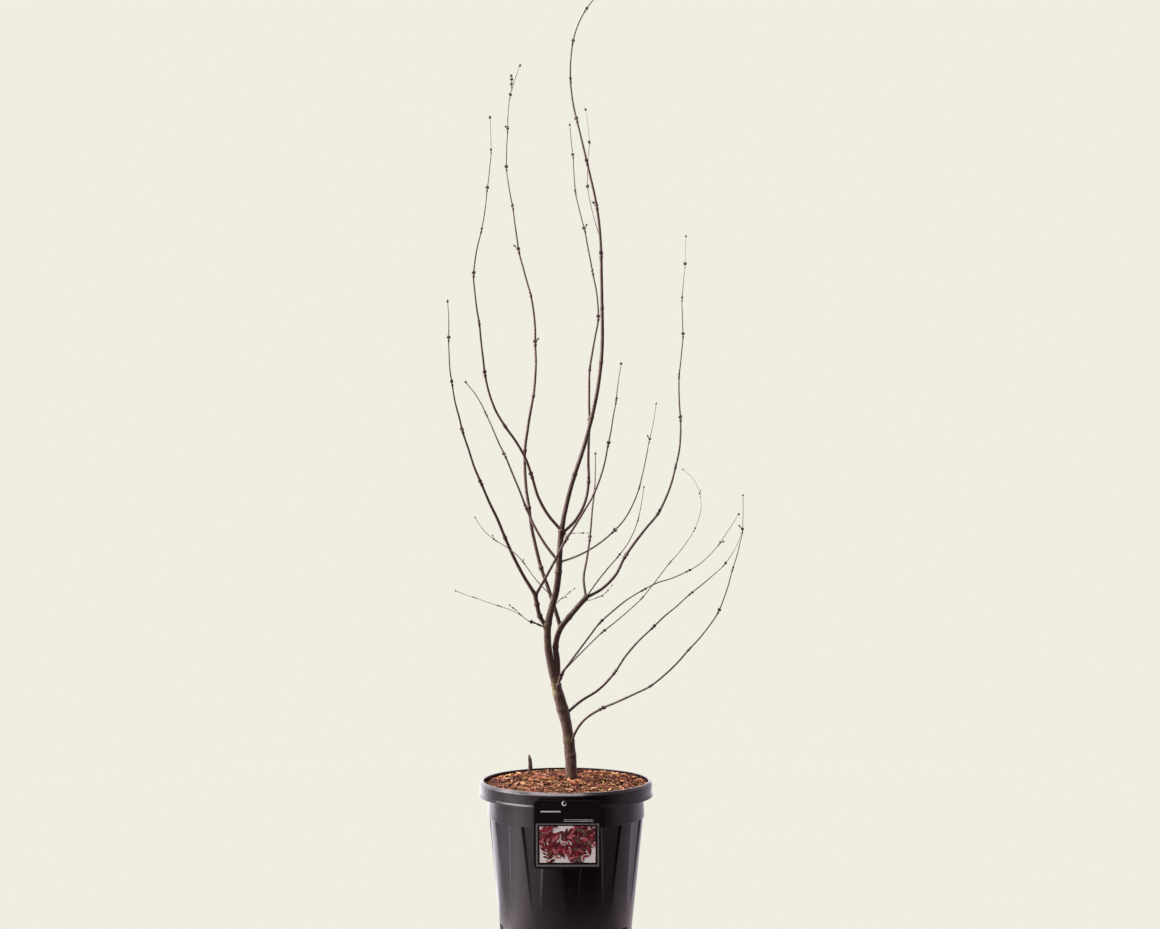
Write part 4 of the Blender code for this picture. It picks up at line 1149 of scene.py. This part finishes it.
def spread(tree, value, low, high, to_low=0.0, to_high=1.0):
    """The value carried from low and high to two others, and held there beyond them."""
    node = tree.nodes.new("ShaderNodeMapRange")
    for socket, number in zip(("Value", "From Min", "From Max", "To Min", "To Max"), (value, low, high, to_low, to_high)):
        put(tree, node.inputs[socket], number)
    return node.outputs["Result"]


def reckon(tree, operation, first, second):
    node = tree.nodes.new("ShaderNodeMath")
    node.operation = operation
    put(tree, node.inputs[0], first)
    put(tree, node.inputs[1], second)
    return node.outputs["Value"]


def apart(tree, place, other):
    """How far the place is from another, in metres."""
    node = tree.nodes.new("ShaderNodeVectorMath")
    node.operation = "DISTANCE"
    put(tree, node.inputs[0], place)
    put(tree, node.inputs[1], other)
    return node.outputs["Value"]


def blended(tree, share, under, over, way="MIX"):
    """One colour laid over another by a share."""
    node = tree.nodes.new("ShaderNodeMix")
    node.data_type = "RGBA"
    node.blend_type = way
    put(tree, node.inputs[0], share)
    put(tree, node.inputs[6], solid(under))
    put(tree, node.inputs[7], solid(over))
    return node.outputs[2]


def solid(colour):
    """A colour with full opacity, or the socket it came as."""
    return colour if isinstance(colour, bpy.types.NodeSocket) else (*colour, 1)


def ramp(tree, value, stops):
    """A colour for each value, through stops of (value, colour)."""
    node = tree.nodes.new("ShaderNodeValToRGB")
    row = node.color_ramp.elements
    while len(row) < len(stops):
        row.new(0.5)
    for element, (spot, colour) in zip(row, stops):
        element.position = spot
        element.color = solid(colour)
    put(tree, node.inputs["Fac"], value)
    return node.outputs["Color"]


def toned(tree, colour, value):
    """The colour made darker or lighter by a factor."""
    node = tree.nodes.new("ShaderNodeHueSaturation")
    put(tree, node.inputs["Value"], value)
    put(tree, node.inputs["Color"], colour)
    return node.outputs["Color"]


def raise_grain(tree, shader, height, depth, under=None):
    """Bump of this depth in metres, on top of any other."""
    node = tree.nodes.new("ShaderNodeBump")
    put(tree, node.inputs["Distance"], depth)
    put(tree, node.inputs["Height"], height)
    if under is not None:
        put(tree, node.inputs["Normal"], under)
    tree.links.new(node.outputs["Normal"], shader.inputs["Normal"])
    return node.outputs["Normal"]


# Materials of this plant


# Bark by its age, from a young tip to the trunk's foot
BARK_COLOURS = (
    (0.0, (0.27, 0.23, 0.195)),
    (0.1, (0.165, 0.137, 0.113)),
    (0.25, (0.076, 0.054, 0.045)),
    (0.45, (0.050, 0.025, 0.021)),
    (0.62, (0.046, 0.018, 0.014)),
    (0.78, (0.046, 0.020, 0.015)),
    (0.9, (0.056, 0.029, 0.021)),
    (1.0, (0.064, 0.036, 0.026)),
)
BARK_OLIVE = (0.088, 0.062, 0.030)
BARK_PURPLE = (0.036, 0.013, 0.015)
BARK_PALE = (0.15, 0.11, 0.085)
MOSS = (0.20, 0.17, 0.055)
MOSS_PLACE = (-0.031, -0.006, 0.424)

CHIP_OLIVE = (1.0, 1.12, 0.55)
CHIP_PINK = (1.0, 0.82, 1.2)
# Painted shade: chips in a patch on the left near the rim are darkened by this colour, most within the near reach and
# not at all past the far reach
CHIP_PAINTED_SHADE = (0.50, 0.47, 0.50)
PAINTED_SHADE_PLACE, PAINTED_SHADE_REACH = (-0.125, -0.03, 0.262), (0.02, 0.10)


def bark_finish(name):
    """Bark that goes from maroon shoots to grey-tan wood, with olive and purple patches and fine long streaks."""
    finish, tree, shader = start_finish(name, 0.45)
    place, straight = places(tree), marks(tree, "straight")
    age = marks(tree, "age", "Fac")
    patches = noise(tree, place, 0.05, 3)
    shifted = reckon(tree, "ADD", age, spread(tree, patches, 0.3, 0.7, -0.1, 0.1))
    colour = ramp(tree, shifted, BARK_COLOURS)
    old = spread(tree, age, 0.66, 0.84)
    olive = reckon(tree, "MULTIPLY", spread(tree, noise(tree, place, 0.028, 3, 0.6), 0.52, 0.64, 0, 0.8), old)
    colour = blended(tree, olive, colour, BARK_OLIVE)
    purple = reckon(tree, "MULTIPLY", spread(tree, noise(tree, place, 0.017, 2, 0.6), 0.55, 0.68, 0, 0.85), old)
    colour = blended(tree, purple, colour, BARK_PURPLE)
    colour = blended(tree, spread(tree, apart(tree, place, MOSS_PLACE), 0.006, 0.017, 0.7, 0), colour, MOSS)
    streaks = noise(tree, stretched(tree, straight, (1, 1, 0.2)), 0.0024, 4, 0.62)
    colour = toned(tree, colour, spread(tree, streaks, 0.3, 0.7, 0.66, 1.4))
    bands = noise(tree, stretched(tree, straight, (0.3, 0.3, 1)), 0.003, 3, 0.6)
    colour = toned(tree, colour, spread(tree, bands, 0.35, 0.7, 0.86, 1.18))
    flecks = spread(tree, noise(tree, straight, 0.0013, 2, 0.4), 0.66, 0.76, 0, 0.7)
    colour = blended(tree, flecks, colour, BARK_PALE)
    tree.links.new(colour, shader.inputs["Base Color"])
    tree.links.new(spread(tree, streaks, 0.3, 0.7, 0.34, 0.52), shader.inputs["Roughness"])
    coarse = raise_grain(tree, shader, streaks, 0.0006)
    raise_grain(tree, shader, noise(tree, straight, 0.0009, 3, 0.6), 0.00022, coarse)
    return finish


def bud_finish():
    """Bud scales, dark at the foot and paler at the tip, with fine ribs across."""
    finish, tree, shader = start_finish("Bud scales", 0.5, 0.3)
    place = places(tree)
    colour = ramp(tree, marks(tree, "age", "Fac"), ((0, (0.020, 0.013, 0.012)), (0.5, (0.034, 0.021, 0.018)), (1, (0.075, 0.05, 0.04))))
    scales = noise(tree, place, 0.0009, 2)
    colour = toned(tree, colour, spread(tree, scales, 0.3, 0.7, 0.7, 1.35))
    tree.links.new(colour, shader.inputs["Base Color"])
    raise_grain(tree, shader, scales, 0.0003)
    return finish


def lenticel_finish():
    """The pale corky grains that dot the bark."""
    finish, tree, shader = start_finish("Lenticels", 0.85)
    cork = noise(tree, places(tree), 0.0005, 2)
    tree.links.new(ramp(tree, cork, ((0.35, (0.10, 0.07, 0.055)), (0.7, (0.26, 0.2, 0.16)))), shader.inputs["Base Color"])
    raise_grain(tree, shader, cork, 0.0002)
    return finish


def stub_finish():
    """Old cut wood, nearly black, with long cracks and a grey bloom."""
    finish, tree, shader = start_finish("Old wood", 0.85)
    straight = marks(tree, "straight")
    cracks = noise(tree, stretched(tree, straight, (1, 1, 0.12)), 0.0013, 4, 0.65)
    colour = ramp(tree, cracks, ((0.3, (0.014, 0.008, 0.008)), (0.55, (0.05, 0.028, 0.026)), (0.75, (0.12, 0.085, 0.075))))
    tree.links.new(colour, shader.inputs["Base Color"])
    raise_grain(tree, shader, cracks, 0.0008)
    return finish


def pot_finish(settings):
    """Black satin plastic: clouds of dust, upright scuffs and a fine moulded grain."""
    finish, tree, shader = start_finish("Pot plastic", settings.roughness)
    place = places(tree)
    clouds = noise(tree, place, 0.06, 4, 0.55)
    scuffs = noise(tree, stretched(tree, place, (1, 1, 0.12)), 0.004, 5, 0.6)
    dust = reckon(tree, "MULTIPLY", spread(tree, clouds, 0.42, 0.72), spread(tree, scuffs, 0.35, 0.7, 0.2, 1))
    colour = blended(tree, spread(tree, dust, 0, 1, 0, settings.dust), tuple(settings.colour), (0.16, 0.145, 0.14))
    tree.links.new(colour, shader.inputs["Base Color"])
    low, high = settings.roughness * 0.85, settings.roughness * 1.25
    tree.links.new(spread(tree, scuffs, 0.3, 0.7, low, high), shader.inputs["Roughness"])
    shader.inputs["Specular Tint"].default_value = (1.0, 0.93, 1.0, 1)
    waves = raise_grain(tree, shader, noise(tree, place, 0.02, 1), 0.0005)
    raise_grain(tree, shader, noise(tree, place, 0.0011, 2), 0.00003, waves)
    return finish


def chip_finish(name, light, dark):
    """Bark chips: long fibres of two colours, each chip of its own tone, in patches that lean to olive or pink, and
    darker in a painted shade on the left near the rim.
    """
    finish, tree, shader = start_finish(name, 0.88, 0.2)
    place, straight = places(tree), marks(tree, "straight")
    fibres = noise(tree, stretched(tree, straight, (1, 1, 0.16)), 0.0011, 4, 0.65)
    colour = ramp(tree, fibres, ((0.32, dark), (0.62, light)))
    patches = noise(tree, place, 0.045, 2, 0.5)
    colour = blended(tree, spread(tree, patches, 0.52, 0.66, 0, 0.55), colour, CHIP_OLIVE, "MULTIPLY")
    colour = blended(tree, spread(tree, patches, 0.48, 0.38, 0, 0.7), colour, CHIP_PINK, "MULTIPLY")
    colour = toned(tree, colour, spread(tree, marks(tree, "age", "Fac"), 0, 1, 0.45, 1.35))
    # Painted shade: the chips are darkened in a patch on the left, near the rim
    painted_shade = spread(tree, apart(tree, place, PAINTED_SHADE_PLACE), *PAINTED_SHADE_REACH, 0.8, 0)
    colour = blended(tree, painted_shade, colour, CHIP_PAINTED_SHADE, "MULTIPLY")
    dirt = spread(tree, noise(tree, place, 0.006, 3, 0.6), 0.5, 0.72, 0, 0.7)
    colour = blended(tree, dirt, colour, (0.035, 0.015, 0.009))
    tree.links.new(colour, shader.inputs["Base Color"])
    raise_grain(tree, shader, fibres, 0.0008)
    return finish


def compost_finish():
    """Damp dark compost with crumbs of brown fibre."""
    finish, tree, shader = start_finish("Compost", 0.9, 0.2)
    crumbs = noise(tree, places(tree), 0.003, 5, 0.7)
    tree.links.new(ramp(tree, crumbs, ((0.35, (0.012, 0.006, 0.004)), (0.6, (0.055, 0.024, 0.014)), (0.8, (0.16, 0.07, 0.035)))), shader.inputs["Base Color"])
    raise_grain(tree, shader, crumbs, 0.003)
    return finish


def print_finish(name, colour, roughness=0.42, mottle=0.12, size=0.004, gloss=0.5):
    """Printed card: one ink, a little uneven, under a satin varnish."""
    finish, tree, shader = start_finish(name, roughness, gloss)
    place = places(tree)
    ink = noise(tree, place, size, 4, 0.6)
    tree.links.new(toned(tree, solid(colour), spread(tree, ink, 0.3, 0.7, 1 - mottle, 1 + mottle)), shader.inputs["Base Color"])
    raise_grain(tree, shader, noise(tree, place, 0.0008, 2), 0.00002)
    return finish


def blush_finish():
    """The label's picture ground: pale pink that runs to white in soft clouds."""
    finish, tree, shader = start_finish("Picture ground", 0.42)
    place = places(tree)
    clouds = noise(tree, place, 0.022, 3, 0.6)
    colour = ramp(tree, clouds, ((0.3, (0.86, 0.56, 0.58)), (0.45, (0.93, 0.82, 0.81)), (0.6, (0.95, 0.93, 0.91))))
    tree.links.new(colour, shader.inputs["Base Color"])
    raise_grain(tree, shader, noise(tree, place, 0.0008, 2), 0.00002)
    return finish


# Settings


class PotSettings(bpy.types.PropertyGroup):
    colour: bpy.props.FloatVectorProperty(
        name="Plastic", description="Colour of the pot's plastic", default=(0.0035, 0.0020, 0.0030),
        subtype="COLOR", min=0, max=1,
    )
    roughness: bpy.props.FloatProperty(
        name="Roughness", description="How dull the plastic is", default=0.24, subtype="FACTOR", min=0, max=1,
    )
    dust: bpy.props.FloatProperty(
        name="Dust", description="How much dust lies on the plastic", default=0.03, subtype="FACTOR", min=0, max=1,
    )
    flute_depth: bpy.props.FloatProperty(
        name="Flute depth", description="How deep the flutes are at the top of the body", default=0.0023, unit="LENGTH",
    )
    notch_depth: bpy.props.FloatProperty(
        name="Notch depth", description="How far the drain notches go in at the foot", default=0.009, unit="LENGTH",
    )
    columns: bpy.props.IntProperty(
        name="Columns", description="Faces around the pot", default=720, min=72, max=1440,
    )


class MulchSettings(bpy.types.PropertyGroup):
    chips: bpy.props.IntProperty(
        name="Chips", description="How many bark chips lie on the compost", default=6000, min=100, max=9000,
    )
    chip_size: bpy.props.FloatProperty(
        name="Chip size", description="Length of the chips as a share of their usual length", default=1.0, min=0.3, max=3,
    )
    lift: bpy.props.FloatProperty(
        name="Lift", description="How far chips lie above or below the mulch's level", default=0.0020, unit="LENGTH",
    )


class BarkSettings(bpy.types.PropertyGroup):
    relief: bpy.props.FloatProperty(
        name="Relief", description="Strength of the furrows and bumps in the bark", default=1.0, min=0, max=3,
    )
    node_swell: bpy.props.FloatProperty(
        name="Node swelling", description="How much wider a twig is at its nodes, as a share", default=0.34, min=0, max=1,
    )
    node_reach: bpy.props.FloatProperty(
        name="Node reach", description="Half the height of a node's swelling", default=0.0022, unit="LENGTH",
    )
    collar: bpy.props.FloatProperty(
        name="Collar", description="How much wider a twig is where it leaves its carrier, as a share", default=0.5, min=0, max=1,
    )
    fork_swell: bpy.props.FloatProperty(
        name="Fork swelling", description="How much wider a leader is where it forks at its end, as a share", default=0.12, min=0, max=1,
    )
    lenticels: bpy.props.IntProperty(
        name="Lenticels", description="How many pale grains dot the bark", default=2600, min=10, max=9000,
    )


class BudSettings(bpy.types.PropertyGroup):
    length: bpy.props.FloatProperty(
        name="Length", description="Length of a bud", default=0.0058, unit="LENGTH",
    )
    stoutness: bpy.props.FloatProperty(
        name="Stoutness", description="Width of a bud as a share of its length", default=0.78, min=0.1, max=1,
    )
    rise: bpy.props.FloatProperty(
        name="Rise", description="How far a bud leans in towards its stem", default=math.radians(68),
        subtype="ANGLE", min=0, max=math.radians(90),
    )


class LabelSettings(bpy.types.PropertyGroup):
    card: bpy.props.FloatVectorProperty(
        name="Card", description="Colour of the card", default=(0.005, 0.003, 0.0035), subtype="COLOR", min=0, max=1,
    )
    leaf: bpy.props.FloatVectorProperty(
        name="Leaf", description="Main colour of the printed leaves", default=(0.27, 0.020, 0.036), subtype="COLOR", min=0, max=1,
    )


class StageSettings(bpy.types.PropertyGroup):
    backdrop: bpy.props.FloatVectorProperty(
        name="Backdrop", description="Colour behind the plant", default=(0.871, 0.847, 0.753), subtype="COLOR", min=0, max=1,
    )
    side_light: bpy.props.FloatProperty(
        name="Side light", description="Power of the large soft light on the left", default=60, unit="POWER", min=0,
    )
    rim_light: bpy.props.FloatProperty(
        name="Rim light", description="Power of the tall light on the left, a little behind the plant", default=115, unit="POWER", min=0,
    )
    front_light: bpy.props.FloatProperty(
        name="Front light", description="Power of the soft fill from the front", default=14, unit="POWER", min=0,
    )
    top_light: bpy.props.FloatProperty(
        name="Top light", description="Power of the soft light overhead", default=62, unit="POWER", min=0,
    )


# Operators


TWIG_SIDES = 8
TWIG_PITCH = 0.0016
DORMANT_MOST = 0.0026
BARK_SIDES = {"trunk": (56, 0.0016), "leader": (36, 0.0018), "bough": (18, 0.0018)}

# Chips: kind, share of all, usual length, least and most width as shares of it, light and dark colours
CHIPS = (
    ("tan", 0.25, 0.0160, (0.10, 0.18), (0.54, 0.295, 0.165), (0.24, 0.105, 0.052)),
    ("russet", 0.31, 0.0145, (0.12, 0.23), (0.34, 0.122, 0.064), (0.125, 0.040, 0.022)),
    ("brown", 0.24, 0.0115, (0.16, 0.30), (0.19, 0.070, 0.040), (0.070, 0.026, 0.015)),
    ("dark", 0.20, 0.0095, (0.20, 0.40), (0.055, 0.020, 0.012), (0.018, 0.007, 0.005)),
)


class MAPLE_OT_build_pot(bpy.types.Operator):
    """Turn the fluted black nursery pot"""

    bl_idname = "maple.build_pot"
    bl_label = "Pot"
    bl_options = {"REGISTER", "UNDO"}

    def execute(self, context):
        settings = context.scene.maple_pot
        make_piece("pot_shell", pot_skin(settings), pot_finish(settings), ("pot",), sharp=38)
        return {"FINISHED"}


class MAPLE_OT_build_mulch(bpy.types.Operator):
    """Fill the pot with compost and strew bark chips on it"""

    bl_idname = "maple.build_mulch"
    bl_label = "Mulch"
    bl_options = {"REGISTER", "UNDO"}

    def execute(self, context):
        settings = context.scene.maple_mulch
        rng = np.random.default_rng(SEED)
        make_piece("compost", compost_skin(rng), compost_finish(), ("soil",))
        for name, share, length, slim, light, dark in CHIPS:
            count = round(settings.chips * share)
            chips = chip_skins(rng, count, length * settings.chip_size, slim, settings.lift)
            make_piece(name + "_chips", chips, chip_finish("Chips, " + name, light, dark), sharp=50)
        return {"FINISHED"}


class MAPLE_OT_build_bark(bpy.types.Operator):
    """Grow the trunk, the leaders and the boughs"""

    bl_idname = "maple.build_bark"
    bl_label = "Trunk and boughs"
    bl_options = {"REGISTER", "UNDO"}

    def execute(self, context):
        settings = context.scene.maple_bark
        grown = grow_limbs()
        groups = {"trunk": [], "leader": [], "bough": []}
        names = {"trunk": [], "leader": [], "bough": []}
        for index, one in enumerate(grown.values()):
            limb = one.limb
            if limb.bough == 0:
                continue
            kind = "trunk" if limb.on is None else "leader" if limb.foot > LEADER_LEAST else "bough"
            children = [other for other in grown.values() if other.limb.on == limb.name]
            rng = np.random.default_rng(SEED + index)
            sides, pitch = BARK_SIDES[kind]
            groups[kind].append(limb_skin(one, 0, split_share(one), children, settings, rng, sides, pitch))
            names[kind].append(limb.name if limb.bough == 1 else limb.name + "_bough")
        make_piece("trunk_bark_skin", joined(groups["trunk"]), bark_finish("Trunk bark"), names["trunk"], 60)
        bough_finish = bark_finish("Bough bark")
        make_piece("leader_bark_skin", joined(groups["leader"]), bough_finish, names["leader"], 60)
        make_piece("bough_bark_skin", joined(groups["bough"]), bough_finish, names["bough"], 60)
        rng = np.random.default_rng(SEED + 7)
        grains = lenticel_skins(grown, rng, settings.lenticels, 1.5)
        make_piece("lenticels", grains, lenticel_finish())
        return {"FINISHED"}


class MAPLE_OT_build_twigs(bpy.types.Operator):
    """Grow the twigs past the boughs, with their spurs and buds"""

    bl_idname = "maple.build_twigs"
    bl_label = "Twigs and buds"
    bl_options = {"REGISTER", "UNDO"}

    def execute(self, context):
        grown = grow_limbs()
        twigs, buds = grow_twigs(grown, context.scene.maple_bark, context.scene.maple_buds)
        nodes = [limb.name + "_twigs" for limb in LIMBS if limb.bough < 1]
        make_piece("twig_bark_skin", twigs, bark_finish("Twig bark"), nodes, 60)
        make_piece("buds", bud_skins(buds, np.random.default_rng(SEED + 3)), bud_finish())
        return {"FINISHED"}


class MAPLE_OT_build_stub(bpy.types.Operator):
    """Set the old cut stem in the mulch"""

    bl_idname = "maple.build_stub"
    bl_label = "Cut stem"
    bl_options = {"REGISTER", "UNDO"}

    def execute(self, context):
        make_piece("stub_wood", stub_skin(np.random.default_rng(SEED + 5)), stub_finish(), ("cut_stem",), 60)
        return {"FINISHED"}


class MAPLE_OT_build_label(bpy.types.Operator):
    """Hang the label on its pin, with a plain leaf print"""

    bl_idname = "maple.build_label"
    bl_label = "Label"
    bl_options = {"REGISTER", "UNDO"}

    def execute(self, context):
        settings = context.scene.maple_label
        make_label(settings, np.random.default_rng(SEED + 9))
        make_pin()
        return {"FINISHED"}


class MAPLE_OT_build_stage(bpy.types.Operator):
    """Set up the floor, the backdrop, the soft lights and the camera"""

    bl_idname = "maple.build_stage"
    bl_label = "Stage"
    bl_options = {"REGISTER", "UNDO"}

    def execute(self, context):
        settings = context.scene.maple_stage
        make_floor(settings)
        make_backdrop(settings)
        make_lights(settings)
        make_camera(context.scene)
        context.scene.view_settings.view_transform = "Standard"
        return {"FINISHED"}


OPERATORS = (
    MAPLE_OT_build_pot,
    MAPLE_OT_build_mulch,
    MAPLE_OT_build_bark,
    MAPLE_OT_build_twigs,
    MAPLE_OT_build_stub,
    MAPLE_OT_build_label,
    MAPLE_OT_build_stage,
)
SETTINGS = (
    ("maple_pot", PotSettings),
    ("maple_mulch", MulchSettings),
    ("maple_bark", BarkSettings),
    ("maple_buds", BudSettings),
    ("maple_label", LabelSettings),
    ("maple_stage", StageSettings),
)


class MAPLE_PT_panel(bpy.types.Panel):
    """Lists the steps that dress the plant, and their settings"""

    bl_idname = "MAPLE_PT_panel"
    bl_label = "Potted Maple"
    bl_space_type = "VIEW_3D"
    bl_region_type = "UI"
    bl_category = "Maple"

    def draw(self, context):
        layout = self.layout
        for operator in OPERATORS:
            layout.operator(operator.bl_idname)
        for name, group in SETTINGS:
            box = layout.box()
            for prop in group.__annotations__:
                box.prop(getattr(context.scene, name), prop)


def register():
    for name, group in SETTINGS:
        bpy.utils.register_class(group)
        setattr(bpy.types.Scene, name, bpy.props.PointerProperty(type=group))
    for operator in OPERATORS:
        bpy.utils.register_class(operator)
    bpy.utils.register_class(MAPLE_PT_panel)


def unregister():
    bpy.utils.unregister_class(MAPLE_PT_panel)
    for operator in reversed(OPERATORS):
        bpy.utils.unregister_class(operator)
    for name, group in reversed(SETTINGS):
        delattr(bpy.types.Scene, name)
        bpy.utils.unregister_class(group)


def main():
    register()
    bpy.ops.maple.build_pot()
    bpy.ops.maple.build_mulch()
    bpy.ops.maple.build_bark()
    bpy.ops.maple.build_twigs()
    bpy.ops.maple.build_stub()
    bpy.ops.maple.build_label()
    bpy.ops.maple.build_stage()


if __name__ == "__main__":
    main()
